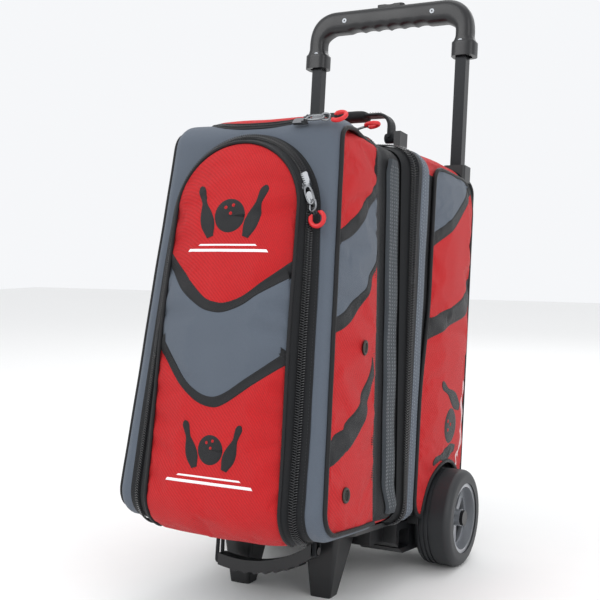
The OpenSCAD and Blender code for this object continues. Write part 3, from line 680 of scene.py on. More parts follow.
def side_panel_points(side, rows=96, cols=40):
    """Front section's side: rows up it and columns from its front piping back to the shoe zip."""
    seam = SEAMS[side]
    top_z = seam[:, 2].max() - 1.0
    low_z = seam[0, 2] + 0.6
    t = np.linspace(0, 1, rows)
    z = low_z + (top_z - low_z) * (t + 0.06 * np.sin(2 * math.pi * t) * -1)
    front_half = seam[:int(np.argmax(seam[:, 2])) + 1]
    order = np.argsort(front_half[:, 2])
    y_front = np.interp(z, front_half[order, 2], front_half[order, 1])
    u = np.linspace(0, 1, cols)[None]
    y = y_front[:, None] + (SHOE_Y - 1 - y_front)[:, None] * u
    zz = np.broadcast_to(z[:, None], y.shape)
    flare = 5 * smooth_step(u, 0.1, 1) * smooth_step(zz, 120, 420) + 1.0
    puff = 5.5 * np.sin(math.pi * u) * np.sin(math.pi * np.clip((zz - low_z) / (top_z - low_z), 0, 1)) ** 0.6
    crease = folds(y, zz, 11 if side > 0 else 12, 70, 1.6) * np.sin(math.pi * np.clip(u, 0, 1)) ** 0.5
    x = half_width(zz) - 0.5 + flare + puff + crease
    # The top edge rolls over towards the top seam
    roll = smooth_step(zz, top_z - 16, top_z)
    x = x - 9 * roll ** 2
    points = np.stack([side * x, y, zz], -1)
    return points


def simulated(points, outward, pinned=None, pressure=2.2, shrink=-0.012, limit=5.0, seed=0):
    """The same grid after a short cloth simulation: its border stays and its middle swells and wrinkles."""
    rows, cols = points.shape[:2]
    mesh = bpy.data.meshes.new("cloth_trial")
    normals = grid_normals(points, outward)
    flip = facing(points, normals) < 0
    nudge = folds(points[..., 1], points[..., 2] + points[..., 0], seed, 40, 0.5)[..., None]
    inner = np.zeros((rows, cols, 1))
    inner[2:-2, 2:-2] = 1
    start = to_frame(points + normals * nudge * inner).reshape(-1, 3)
    mesh.from_pydata(start.tolist(), [], quads(rows, cols, flip).tolist())
    piece = bpy.data.objects.new("cloth_trial", mesh)
    bpy.context.scene.collection.objects.link(piece)
    border = np.ones((rows, cols), bool)
    border[1:-1, 1:-1] = False
    if pinned is not None:
        border |= pinned
    group = piece.vertex_groups.new(name="pinned")
    group.add(np.flatnonzero(border.ravel()).tolist(), 1.0, "REPLACE")
    cloth = piece.modifiers.new("cloth", "CLOTH")
    cloth.settings.vertex_group_mass = "pinned"
    cloth.settings.quality = 6
    cloth.settings.mass = 0.35
    cloth.settings.tension_stiffness = 25
    cloth.settings.compression_stiffness = 25
    cloth.settings.shear_stiffness = 8
    cloth.settings.bending_stiffness = 0.6
    cloth.settings.shrink_min = shrink
    cloth.settings.use_pressure = True
    cloth.settings.uniform_pressure_force = pressure
    cloth.settings.effector_weights.gravity = 0
    cloth.collision_settings.use_collision = False
    cloth.collision_settings.use_self_collision = False
    scene = bpy.context.scene
    for step in range(1, 23):
        scene.frame_set(step)
    graph = bpy.context.evaluated_depsgraph_get()
    final = piece.evaluated_get(graph).data
    settled = np.empty(len(final.vertices) * 3)
    final.vertices.foreach_get("co", settled)
    moved = from_frame(settled.reshape(rows, cols, 3)) - points
    far = np.linalg.norm(moved, axis=-1, keepdims=True)
    moved *= np.minimum(1, limit / np.maximum(far, 1e-6))
    scene.frame_set(1)
    bpy.data.objects.remove(piece)
    return np.where(border[..., None], points, points + moved)


def finer(points):
    """A grid with a new row and column between each pair, on a smooth curve through them."""
    def halve(p):
        middle = (p[:-1] + p[1:]) * 0.5
        inner = middle.copy()
        inner[1:-1] = (9 * (p[1:-2] + p[2:-1]) - p[:-3] - p[3:]) / 16
        result = np.empty((2 * len(p) - 1,) + p.shape[1:])
        result[::2] = p
        result[1::2] = inner
        return result
    return np.swapaxes(halve(np.swapaxes(halve(points), 0, 1)), 0, 1)


def panel_colours(points, rule):
    """Face numbers of a grid from a rule on the faces' middles."""
    middles = (points[:-1, :-1] + points[1:, 1:] + points[:-1, 1:] + points[1:, :-1]) / 4
    return rule(middles).astype(int).ravel()


def on_side_wall(side, x):
    """How marks are placed on a side wall: from (y, z) to a point beyond it and the way in."""
    def place(y, z):
        return np.stack([np.full_like(y, side * x), y, z], -1), np.array([-side, 0.0, 0.0])
    return place


def on_face_wall(x, up):
    """How marks are placed on the face and its pocket: from (x, distance up) and the way in."""
    return on_front(x, up, 50), -front_normal(x, up)


def strip_points(first, second, count, across, surface, place, lift=0.9):
    """A strip between two curves, dropped on a surface: its edges dive in and its middle lies proud."""
    a = spline(first, count)
    b = spline(second, count)
    t = np.linspace(0, 1, across)[:, None, None]
    flat = a[None] * (1 - t) + b[None] * t
    points, toward = place(flat[..., 0], flat[..., 1])
    landed, normals = surface.drop(points, toward)
    rise = lift * np.minimum(1, 1.6 * np.sin(math.pi * t) ** 0.5)
    return landed + normals * (rise - 0.15), normals


def lay_strip(build, first, second, count, across, surface, place, material, lift=0.9):
    points, normals = strip_points(first, second, count, across, surface, place, lift)
    build.slab(points, normals, lift + 0.5, material)
    return points, normals


def lay_disc(build, middle, radius, surface, place, material, lift=0.9, inner=0.0):
    """A round patch, or a ring with an inner radius, laid on a surface."""
    angle = np.linspace(0, 2 * math.pi, 41)[None]
    reach = np.linspace(max(inner, 0.3), radius, 9)[:, None]
    a = middle[0] + reach * np.cos(angle)
    b = middle[1] + reach * np.sin(angle)
    points, toward = place(a, b)
    landed, normals = surface.drop(points, toward)
    t = (reach - inner) / (radius - inner)
    rise = lift * (1 - t ** 8)[..., None]
    build.slab(landed + normals * (rise - 0.1), normals, lift + 0.4, material)


def stitch_line(build, path, normals, material, length=2.6, gap=1.5, lift=0.25, width=0.42):
    """A row of stitches along a path on a surface."""
    path = np.asarray(path, float)
    even = resample(np.hstack([path, normals]), length + gap)
    places = even[:, :3]
    up = unit(even[:, 3:])
    ahead = unit(np.gradient(places, axis=0))
    across = unit(np.cross(up, ahead))
    build.beads(places + up * lift, ahead, across, (length / 2, width, width * 0.7), material, 5, 3)


def coil_chain(build, path, normals, material=None, pitch=2.7, half=4.0):
    """A coil zip's chain: two rows of wire turns that interlock along the middle."""
    material = material or COIL
    even = resample(np.hstack([path, normals]), pitch / 2)
    places = even[:, :3]
    up = unit(even[:, 3:])
    ahead = unit(np.gradient(places, axis=0))
    across = unit(np.cross(up, ahead))
    side = np.where(np.arange(len(places)) % 2 == 0, 1.0, -1.0)[:, None]
    tilted = unit(across + ahead * side * 0.28)
    forward = unit(np.cross(tilted, up) * -1)
    build.beads(places + across * side * half * 0.42 + up * 0.9, forward, tilted,
                (pitch * 0.34, half * 0.66, 1.3), material, 6, 4)


def zip_tape(build, path, normals, half=9.0, lift=0.4, material=None):
    """The woven tape under a coil, with a raised cord along each edge of the coil."""
    path = np.asarray(path, float)
    ahead = unit(np.gradient(path, axis=0))
    across = unit(np.cross(normals, ahead))
    offsets = np.array([-half, -half * 0.66, -3.6, 0, 3.6, half * 0.66, half])
    lifts = np.array([-0.3, lift, lift + 0.3, lift - 0.2, lift + 0.3, lift, -0.3])
    points = path[None] + across[None] * offsets[:, None, None] + normals[None] * lifts[:, None, None]
    build.slab(points, np.broadcast_to(normals[None], points.shape), 1.2, material or TAPE)


SIDE_SURFACE = {}


def make_front_side(side):
    """One side of the front section, with its colours, swooshes and stitches."""
    name = "right" if side > 0 else "left"
    points = side_panel_points(side)
    points = simulated(points, (side, 0, 0), pressure=1.2, limit=3.5, seed=5 + side)
    points = finer(points)
    normals = grid_normals(points, (side, 0, 0))

    def rule(middle):
        y, z = middle[..., 1], middle[..., 2]
        upper = (height_on(SWOOSH_UP[0], y) + height_on(SWOOSH_UP[1], y)) / 2
        lower = (height_on(SWOOSH_MID[0], y) + height_on(SWOOSH_MID[1], y)) / 2
        return (z < upper) & (z > lower)

    panel = Build()
    panel.slab(points, normals, FABRIC, ([RED, SLATE], panel_colours(points, rule)), under=LINING)
    panel.done(f"front_side_panel_{name}", "shoe_door", [f"front_side_{name}"])
    surface = Surface(points)
    SIDE_SURFACE[side] = surface
    trim = Build()
    seams = Build()
    for first, second in (SWOOSH_UP, SWOOSH_MID, CRESCENT):
        laid, up = lay_strip(trim, first, second, 60, 9, surface, on_side_wall(side, HALF_LOW), APPLIQUE, 0.8)
        stitch_line(seams, laid[1], up[1], DARK_THREAD, 2.2, 1.1, lift=0.1, width=0.3)
        stitch_line(seams, laid[-2], up[-2], DARK_THREAD, 2.2, 1.1, lift=0.1, width=0.3)
    trim.done(f"front_swooshes_{name}", "shoe_door")
    seams.done(f"front_swoosh_stitches_{name}", "shoe_door")


for side in (-1, 1):
    make_front_side(side)


def make_front_piping():
    """Thick and thin cords along both side seams of the front section."""
    piping = Build()
    for side in (-1, 1):
        seam = resample(SEAMS[side], 4)
        piping.tube(seam + np.array([side * 1.2, 0, 0]), 2.7, PIPING, 10)
        piping.tube(seam + np.array([-side * 1.4, 0, 0]) + 0.4 * unit(seam - [0, -100, 320]), 1.3, PIPING, 8)
    piping.done("front_piping", "shoe_door")


make_front_piping()


# ---- front section: the shoe zip's edge ----

def loop_path(half_low, half_top, low, high, y, radius, step=4, crown=0.0):
    """A closed line around a section, seen from the front, starting under its middle."""
    corners = [(0, low), (half_low, low), (half_top, high), (0, high + crown),
               (-half_top, high), (-half_low, low), (0, low)]
    line = rounded(corners, [radius[0], radius[1], 400 if crown else 0, radius[1], radius[0]], step)
    return np.stack([line[:, 0], np.full(len(line), float(y)), line[:, 1]], 1)


def outward_of(path):
    """Normals of a closed line in a plane of constant y, away from its middle."""
    ahead = unit(np.gradient(path, axis=0))
    ahead[0] = ahead[-1] = unit(ahead[0] + ahead[-1])
    return unit(np.cross(ahead, [0, -1, 0]))


def make_shoe_zip():
    """The shoe compartment's zip: its coil and front tape go with the front section."""
    path = loop_path(HALF_LOW - 2, HALF_TOP + 6.5, FRONT_LOW + 1, TOP_Z, SHOE_Y - 1.5, (26, 26))
    normals = outward_of(path)
    zipper = Build()
    zip_tape(zipper, path + np.array([0, 1.5, 0]), normals, half=8)
    coil_chain(zipper, path, normals)
    zipper.done("shoe_zip_coil", "shoe_door")


make_shoe_zip()


def make_eyelet(side, y, z, index):
    """A vent in the side: a rolled metal ring with fine mesh across it."""
    name = "right" if side > 0 else "left"
    start = np.array([side * HALF_LOW * 1.2, y, z])
    middle, normal = SIDE_SURFACE[side].drop(start, np.array([-side, 0.0, 0.0]))
    across = unit(np.cross([0, 0, 1], normal))
    up = np.cross(normal, across)
    vent = Build()
    angle = np.linspace(0, 2 * math.pi, 37)
    ring = middle + 7.2 * (np.cos(angle)[:, None] * across + np.sin(angle)[:, None] * up) + normal * 0.9
    vent.tube(ring, 1.7, EYELET, 10, closed=True)
    reach = np.linspace(0.2, 7, 6)[:, None, None]
    disc = middle + reach * (np.cos(angle)[:, None] * across + np.sin(angle)[:, None] * up) + normal * 0.4
    vent.grid(disc, DARK_THREAD)
    for k in range(-4, 5):
        half = math.sqrt(max(49 - (k * 1.5) ** 2, 1))
        for one, other in ((across, up), (up, across)):
            ends = np.array([-half, 0, half])[:, None]
            vent.tube(middle + normal * 0.8 + one * k * 1.5 + other * ends, 0.28, EYELET, 5)
    vent.done(f"vent_{name}_{index}", "shoe_door", ["vent_eyelets"])


EYELET_PLACES = [(-98, 302), (-135, 141)]
for side in (-1, 1):
    for index, (y, z) in enumerate(EYELET_PLACES):
        make_eyelet(side, y, z, index + 1)

# ---- accessory pocket ----


def pocket_out(up):
    """How far the pocket's edge stands out from the face."""
    return 8.5 + 11 * smooth_step(up, 20, 260)


def band_width(up):
    """Width of the zip band around the pocket's panel, along the face."""
    return np.interp(up, [0, 120, 300, 436], [27, 26, 21, 15])


def coil_offset(up):
    return np.interp(up, [0, 120, 300, 356], [14, 13, 10, 8.5])


def pocket_edge(step=4.0):
    """The panel's edge as rows of x, up and its outward direction along the face."""
    up = np.arange(POCKET_LOW, ARCH_UP, step)
    side = np.stack([pocket_half(up), up, np.ones_like(up), np.zeros_like(up)], 1)
    turn = np.linspace(0, math.pi, int(math.pi * ARCH_R / step))
    arch = np.stack([ARCH_R * np.cos(turn), ARCH_UP + ARCH_R * np.sin(turn), np.cos(turn), np.sin(turn)], 1)
    left = side[::-1] * np.array([-1, 1, -1, 1])
    return np.vstack([side, arch, left])


def around_pocket(offset, out):
    """A line around the pocket at an offset from the panel's edge, standing out from the face."""
    edge = pocket_edge()
    offset = np.broadcast_to(offset, len(edge))
    x = edge[:, 0] + edge[:, 2] * offset
    up = edge[:, 1] + edge[:, 3] * offset
    return on_front(x, up, out), front_normal(x, edge[:, 1]), edge


def pocket_grid(rows, cols, inset=0.0, low=POCKET_LOW):
    """x and up over the panel: its sides are straight and its top row runs along the arch."""
    phi = np.linspace(-math.pi / 2, math.pi / 2, cols)[None]
    t = np.linspace(0, 1, rows)[:, None]
    radius = ARCH_R - inset
    up = low + t * (ARCH_UP + radius * np.cos(phi) - low)
    straight = low + t * (ARCH_UP - low)
    x = (pocket_half(straight) - inset) * np.sin(phi)
    return x, up


def edge_distance(x, up, inset=0.0):
    side = pocket_half(np.minimum(up, ARCH_UP)) - inset - np.abs(x)
    arch = ARCH_R - inset - np.hypot(x, up - ARCH_UP)
    return np.maximum(np.where(up > ARCH_UP, arch, side), 0)


CHEVRON_UP = ([(-86, 309), (-79, 302), (-48, 273), (-26, 256), (-10, 251),
               (4, 251), (28, 260), (50, 276), (86, 301)],
              [(-88, 292), (-81, 285), (-58, 261), (-31, 244), (-11, 239),
               (5, 240), (29, 249), (53, 264), (88, 283)])
CHEVRON_LOW = ([(-90, 213), (-80, 204), (-52, 170), (-28, 152), (-7, 146), (12, 151), (43, 171), (90, 203)],
               [(-90, 195), (-79, 184), (-51, 157), (-27, 140), (-5, 134), (13, 138), (45, 158), (90, 188)])


def make_pocket_panel():
    x, up = pocket_grid(100, 46)
    near = edge_distance(x, up)
    crown = 4.5 * (1 - np.exp(-near / 20)) - 2.4 * np.exp(-near / 2.5)
    drape = folds(x, up, 21, 60, 1.5) * (1 - np.exp(-near / 14))
    # The fabric bows out between the chevrons, which pull it in
    pull = np.exp(-((up - np.interp(np.abs(x), [0, 85], [244, 292])) / 9) ** 2)
    pull += np.exp(-((up - np.interp(np.abs(x), [0, 85], [140, 194])) / 9) ** 2)
    out = pocket_out(up) + crown + drape - 1.3 * pull
    points = on_front(x, up, out)
    outward = front_normal(x, up)
    points = simulated(points, outward, pressure=1.6, limit=3.5, seed=31)
    points = finer(points)
    normals = grid_normals(points, np.array([0, -1, 0.1]))

    def place_up(middle):
        y, z = middle[..., 1] - FACE_Y, middle[..., 2] - FRONT_LOW
        return y * math.sin(FACE_TILT) + z * math.cos(FACE_TILT)

    def rule(middle):
        height, across = place_up(middle), middle[..., 0]
        upper = (height_on(CHEVRON_UP[0], across) + height_on(CHEVRON_UP[1], across)) / 2
        lower = (height_on(CHEVRON_LOW[0], across) + height_on(CHEVRON_LOW[1], across)) / 2
        return (height < upper) & (height > lower)

    panel = Build()
    panel.slab(points, normals, 2.5, ([RED, SLATE], panel_colours(points, rule)), under=LINING)
    return panel.done("pocket_panel_fabric", None, ["pocket_panel"]), points


def bend_at_pocket(piece):
    """Bakes the piece's placement into its mesh; the fold line at the pocket's foot is worked out but not
    used.
    """
    fold_low = to_frame(on_front(0.0, 2.0, 9.0))
    fold_high = to_frame(on_front(0.0, 40.0, 9.0))
    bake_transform(piece)


POCKET_PIECE, POCKET_POINTS = make_pocket_panel()
bend_at_pocket(POCKET_PIECE)
POCKET_SURFACE = Surface(POCKET_POINTS)


def make_pocket_band():
    """The gusset around the pocket: the half by the panel, which is given no body, and the half that stays
    with the front section.
    """
    edge = pocket_edge()
    ups = np.minimum(edge[:, 1], 436)
    height = pocket_out(ups)
    offset = coil_offset(ups)
    width = band_width(ups)
    coil_out = np.maximum(height * 0.36, 4.2)
    moving = Build()
    rows = []
    for t in np.linspace(0, 1, 6):
        out = height * (1 - t) + coil_out * t + 1.2 * math.sin(math.pi * t)
        rows.append(around_pocket(offset * t * 0.72 + 0.5, out)[0])
    rows = np.array(rows)
    normals = grid_normals(rows, rows - rows.mean((0, 1)) + np.array([0, -60, 0]))
    moving.slab(rows, normals, 1.5, TAPE, under=LINING)
    lip, up_normals, _ = around_pocket(0.4, height - 0.4)
    moving.tube(lip, 2.2, PIPING, 10)
    bend_at_pocket(moving.done("pocket_zip_band", None))
    # Coil
    coil = Build()
    path, up_normals, _ = around_pocket(offset, coil_out - 0.2)
    tilt = unit(up_normals + 0.55 * np.stack([edge[:, 2], 0 * edge[:, 2], edge[:, 3]], 1))
    coil_chain(coil, path + tilt * 0.9, tilt, pitch=2.8, half=4.4)
    coil.done("pocket_zip_coil", "shoe_door", ["pocket_zip_chain"])
    fixed = Build()
    rows = []
    for t in np.linspace(0, 1, 6):
        out = (coil_out - 0.6) * (1 - t) + 0.7 * t
        rows.append(around_pocket(offset * 0.8 + (width - offset * 0.8) * t, out)[0])
    inner = [around_pocket(-11.0, np.full(len(edge), 0.4))[0], around_pocket(offset * 0.5, coil_out * 0.4)[0]]
    rows = np.array(inner + rows)
    normals = grid_normals(rows, np.array([0, -1, 0.2]))
    fixed.slab(rows, normals, 1.2, TAPE, under=LINING)
    fixed.done("pocket_zip_edge", "shoe_door")
    seams = Build()
    path, up_normals, _ = around_pocket(width * 0.9, np.full(len(edge), 1.6))
    stitch_line(seams, path, up_normals, DARK_THREAD, 2.4, 1.2, 0.3)
    seams.done("pocket_zip_stitches", "shoe_door")


make_pocket_band()


def make_chevrons():
    """The two black chevrons across the pocket panel."""
    trim = Build()
    seams = Build()
    for first, second in (CHEVRON_UP, CHEVRON_LOW):
        first = [(x * 0.94, up) for x, up in first]
        second = [(x * 0.94, up) for x, up in second]
        laid, normals = lay_strip(trim, first, second, 90, 9, POCKET_SURFACE, on_face_wall, APPLIQUE, 0.9)
        for row in (1, -2):
            stitch_line(seams, laid[row], normals[row], DARK_THREAD, 2.2, 1.1, 0.1, 0.3)
    trim.done("pocket_chevrons", "pocket_flap")
    seams.done("pocket_chevron_stitches", "pocket_flap")


make_chevrons()


def pin_edges(middle, height, lean):
    """Left and right edges of a bowling pin standing on a surface, leaning by an angle."""
    # Half widths of a pin at shares of its height
    shares = [0, 0.05, 0.18, 0.3, 0.45, 0.62, 0.7, 0.8, 0.9, 0.97, 1]
    halves = [0.075, 0.09, 0.14, 0.155, 0.13, 0.07, 0.062, 0.075, 0.086, 0.06, 0.012]
    edges = []
    for sign in (-1, 1):
        line = []
        for share, half in zip(shares, halves):
            a, b = sign * half * height, (share - 0.5) * height
            line.append((middle[0] + a * math.cos(lean) + b * math.sin(lean),
                         middle[1] - a * math.sin(lean) + b * math.cos(lean)))
        edges.append(line)
    return edges


def make_emblem(name, body, surface, place, middle, size, turn):
    """A generic mark: a bowling ball between two leaning pins."""
    mark = Build()

    def at(a, b):
        return (middle[0] + size * (a * math.cos(turn) + b * math.sin(turn)),
                middle[1] + size * (b * math.cos(turn) - a * math.sin(turn)))

    lay_disc(mark, at(0, -0.08), size * 0.3, surface, place, APPLIQUE, 0.9)
    for a, b in ((-0.08, 0.06), (0.06, 0.1), (0.02, -0.04)):
        lay_disc(mark, at(a, b), size * 0.035, surface, place, RED, 1.3)
    for sign in (-1, 1):
        first, second = pin_edges(at(sign * 0.5, 0), size * 0.95, turn + sign * 0.32)
        lay_strip(mark, first, second, 40, 9, surface, place, APPLIQUE, 0.9)
    mark.done(name, body)


make_emblem("pocket_emblem_upper", "pocket_flap", POCKET_SURFACE, on_face_wall, (-2, 354), 66, 0.0)
make_emblem("pocket_emblem_lower", "pocket_flap", POCKET_SURFACE, on_face_wall, (0, 92), 56, 0.0)


def make_stripes():
    """Plain white printed stripes under the marks."""
    print_layer = Build()
    for left, right, low, high in ((-54, 52, 307, 311), (-40, 38, 314, 316.5),
                                   (-57, 57, 49, 53), (-42, 42, 56, 58.5)):
        lay_strip(print_layer, [(left, low), (0, low), (right, low)],
                  [(left + 3, high), (0, high), (right - 3, high)],
                  40, 5, POCKET_SURFACE, on_face_wall, WHITE, 0.35)
    print_layer.done("pocket_stripes", "pocket_flap")


make_stripes()


def make_pocket_liner():
    """The pocket's inside: a fabric tray behind the face."""
    x, up = pocket_grid(60, 34, inset=12, low=WINDOW_LOW)
    near = np.minimum(edge_distance(x, up, 12), up - WINDOW_LOW)
    depth = 40 * (1 - np.exp(-near / 5)) + 2
    points = on_front(x, up, -depth + folds(x, up, 41, 70, 1.5) * (near > 8))
    tray = Build()
    tray.slab(points, grid_normals(points, np.array([0, -1, 0.1])), 1.5, LINING)
    tray.done("pocket_lining", "shoe_door", ["pocket_liner"])


make_pocket_liner()

# ---- top pocket ----


def flap_edge(t, front):
    """y of the flap's front or back edge at t from -1 to 1 across it."""
    middle = (FLAP_LOW[1] + FLAP_HIGH[1]) / 2
    half = (FLAP_HIGH[1] - FLAP_LOW[1]) / 2
    bow = (1 - np.abs(t) ** 2.6) ** 0.6
    return middle - half * 0.98 * bow if front else middle + half * bow


def make_top_pocket():
    """Flap, zip, piping and tray of the small pocket in the top."""
    t = np.sin(np.linspace(-math.pi / 2, math.pi / 2, 60))[None]
    v = np.linspace(0, 1, 24)[:, None]
    half = FLAP_HIGH[0]
    x = half * t + 0 * v
    y = flap_edge(t, True) * (1 - v) + flap_edge(t, False) * v
    landed, up = WRAP_SURFACE.drop(np.stack([x, y, np.full_like(x, FRONT_HIGH + 60)], -1), (0, 0, -1))
    near = np.minimum(v, 1 - v) * (flap_edge(t, False) - flap_edge(t, True))
    rise = 1.5 + 4.2 * (1 - np.exp(-near / 7)) + folds(x, y, 51, 45, 0.8) * (near > 5)
    points = landed + up * rise[..., None]
    flap = Build()
    flap.slab(points, up, 2, RED, under=LINING)
    flap.done("top_pocket_flap_fabric", "top_pocket_flap", ["top_flap"])
    # Zip along the front and round both ends
    line = np.stack([half * t[0] * 1.02, flap_edge(t[0], True) - 2.6], 1)
    line = resample(line, 2.5)
    above = np.stack([line[:, 0], line[:, 1], np.full(len(line), FRONT_HIGH + 60)], 1)
    path, normals = WRAP_SURFACE.drop(above, (0, 0, -1))
    zipper = Build()
    zip_tape(zipper, path, normals, half=6.5)
    coil_chain(zipper, path, normals, pitch=2.4, half=3.0)
    zipper.done("top_pocket_zip", "shoe_door")
    piping = Build()
    edge = np.vstack([points[0], points[-1][::-1], points[0][:1]])
    piping.tube(resample(edge, 3), 1.4, PIPING, 8)
    piping.done("top_flap_piping", "top_pocket_flap")
    # Shallow fabric tray under the flap
    s = np.linspace(-1, 1, 30)
    a, b = np.meshgrid(s * 64, np.linspace(FLAP_LOW[1] + 14, FLAP_HIGH[1] - 12, 16))
    near = np.minimum(64 - np.abs(a), np.minimum(b - FLAP_LOW[1] - 14, FLAP_HIGH[1] - 12 - b))
    floor = np.interp(b, PROFILE[PROFILE[:, 1] > 500, 0], PROFILE[PROFILE[:, 1] > 500, 1]) - 2 \
        - 18 * (1 - np.exp(-near / 3))
    tray = np.stack([a, b, floor], -1)
    lining = Build()
    lining.slab(tray, grid_normals(tray, (0, 0, 1)), 1.5, LINING)
    lining.done("top_pocket_tray", "shoe_door")


make_top_pocket()

# ---- middle section: the ball door's gusset ----

MID_LOW_HALF = BACK_HIGH[0]
MID_TOP_HALF = MID_LOW_HALF - 17
MID_LOW = BACK_LOW[2]
MID_HIGH = BACK_HIGH[2]


def loop_grid(ys, half_low, half_top, low, high, radii, crown=0.0, step=5):
    """A closed wall around a section: rows around it and columns from front to back."""
    path = loop_path(half_low, half_top, low, high, 0, radii, step, crown)
    normals = outward_of(path)
    points = path[:, None] + np.array([0, 1, 0]) * np.asarray(ys, float)[None, :, None]
    return points, np.broadcast_to(normals[:, None], points.shape)


def make_gusset():
    """Wall round the ball door, with the tape of the shoe zip along its front."""
    ys = np.linspace(SHOE_Y + 1, BALL_Y - 1, 30)
    points, outward = loop_grid(ys, MID_LOW_HALF, MID_TOP_HALF, MID_LOW, MID_HIGH, (24, 24))
    around = np.arange(len(points))[:, None] * 5.0
    sag = -2.2 * np.exp(-((ys[None] + 30) / 8) ** 2) - 1.5 * np.exp(-((ys[None] - 24) / 7) ** 2)
    ripple = folds(around, points[..., 1], 61, 70, 1.1)
    points = points + outward * (sag + ripple * np.sin(math.pi * np.linspace(0, 1, 30))[None])[..., None]
    points[-1] = points[0]
    normals = outward

    def rule(middle):
        return middle[..., 2] < MID_LOW + 7

    gusset = Build()
    gusset.slab(points, normals, FABRIC + 0.5, ([BLACK, RED], panel_colours(points, rule)), under=LINING)
    gusset.done("ball_door_gusset", "ball_door", ["mid_frame"])
    tape_path = loop_path(MID_LOW_HALF, MID_TOP_HALF, MID_LOW, MID_HIGH, SHOE_Y + 5, (24, 24))
    tape = Build()
    zip_tape(tape, tape_path, outward_of(tape_path), half=6)
    tape.done("shoe_zip_tape", "ball_door", ["shoe_zip_chain"])
    return points


GUSSET = make_gusset()


def make_storm_flap(side):
    """The grey stitched flap down the gusset's side, rumpled and folded over at its ends."""
    name = "right" if side > 0 else "left"
    rows, cols = 110, 18
    t = np.linspace(0, 1, rows)[:, None]
    u = np.linspace(0, 1, cols)[None]
    z = 106 + (530 - 106) * t + 0 * u
    front = -22 + 15 * smooth_step(0.09 - t, 0, 0.09)
    back = 12 + 16 * smooth_step(0.09 - t, 0, 0.09) - 10 * smooth_step(t, 0.965, 1)
    y = front * (1 - u) + back * u
    rise = 1.2 + 3.2 * np.sin(math.pi * u) ** 0.6 + 2.0 * np.exp(-((u - 0.12) / 0.1) ** 2)
    rise = rise + folds(z, y * 2, 71 + side, 60, 1.7) * np.sin(math.pi * u) ** 0.5
    rise = rise + 3 * smooth_step(t, 0.96, 1)
    landed, normals = Surface(GUSSET).drop(np.stack([np.full_like(z, side * 160), y, z], -1), (-side, 0, 0))
    points = landed + normals * rise[..., None]
    flap = Build()
    flap.slab(points, grid_normals(points, (side, 0, 0)), 2.4, GREY)
    flap.done(f"storm_flap_{name}", "ball_door", ["storm_flaps"])
    seams = Build()
    up = grid_normals(points, (side, 0, 0))
    for col in (2, 5, 8, 11, 15):
        stitch_line(seams, points[2:-2, col], up[2:-2, col], THREAD, 2.6, 1.7, 0.15, 0.34)
    seams.done(f"storm_flap_stitches_{name}", "ball_door")


for side in (-1, 1):
    make_storm_flap(side)

# ---- rear section ----

REAR_HALF = BOARD_HIGH[0]
BASE_Z = REAR_LOW[2] - 14
BACK_Y = BOARD_HIGH[1]
CROWN = bag_box("rear_top")[1][2] - TOP_Z
BACK_R = 50
BAND_BACK = bag_box("rear_band")[1][1] + 3
AXLE = from_frame(np.array(JOINTS["wheel_spin_right"]["pos_m"], float)[None])[0]
WELL_R = 73
PANEL_BULGE = REAR_HIGH[0] - REAR_HALF


def top_fall(y):
    """Highest z of the rear section at y: its top back edge is rounded off."""
    past = np.clip(np.asarray(y, float) - (BACK_Y - BACK_R), 0, BACK_R)
    return TOP_Z + CROWN - (BACK_R - np.sqrt(np.maximum(BACK_R ** 2 - past ** 2, 0)))


def beside_wheel(points, margin=0.0):
    """True where a wheel needs its well."""
    near = np.hypot(points[..., 1] - AXLE[1], points[..., 2] - AXLE[2]) < WELL_R + margin
    return near & (np.abs(points[..., 0]) > 112)


def snap_to_well(points):
    """Moves points near a wheel well's edge onto it, so that the cut is a clean arc."""
    away = points[..., 1:] - AXLE[1:]
    reach = np.linalg.norm(away, axis=-1)
    close = (np.abs(reach - WELL_R) < 3.2) & (np.abs(points[..., 0]) > 112)
    points[close, 1:] = AXLE[1:] + away[close] / reach[close, None] * WELL_R
    return points


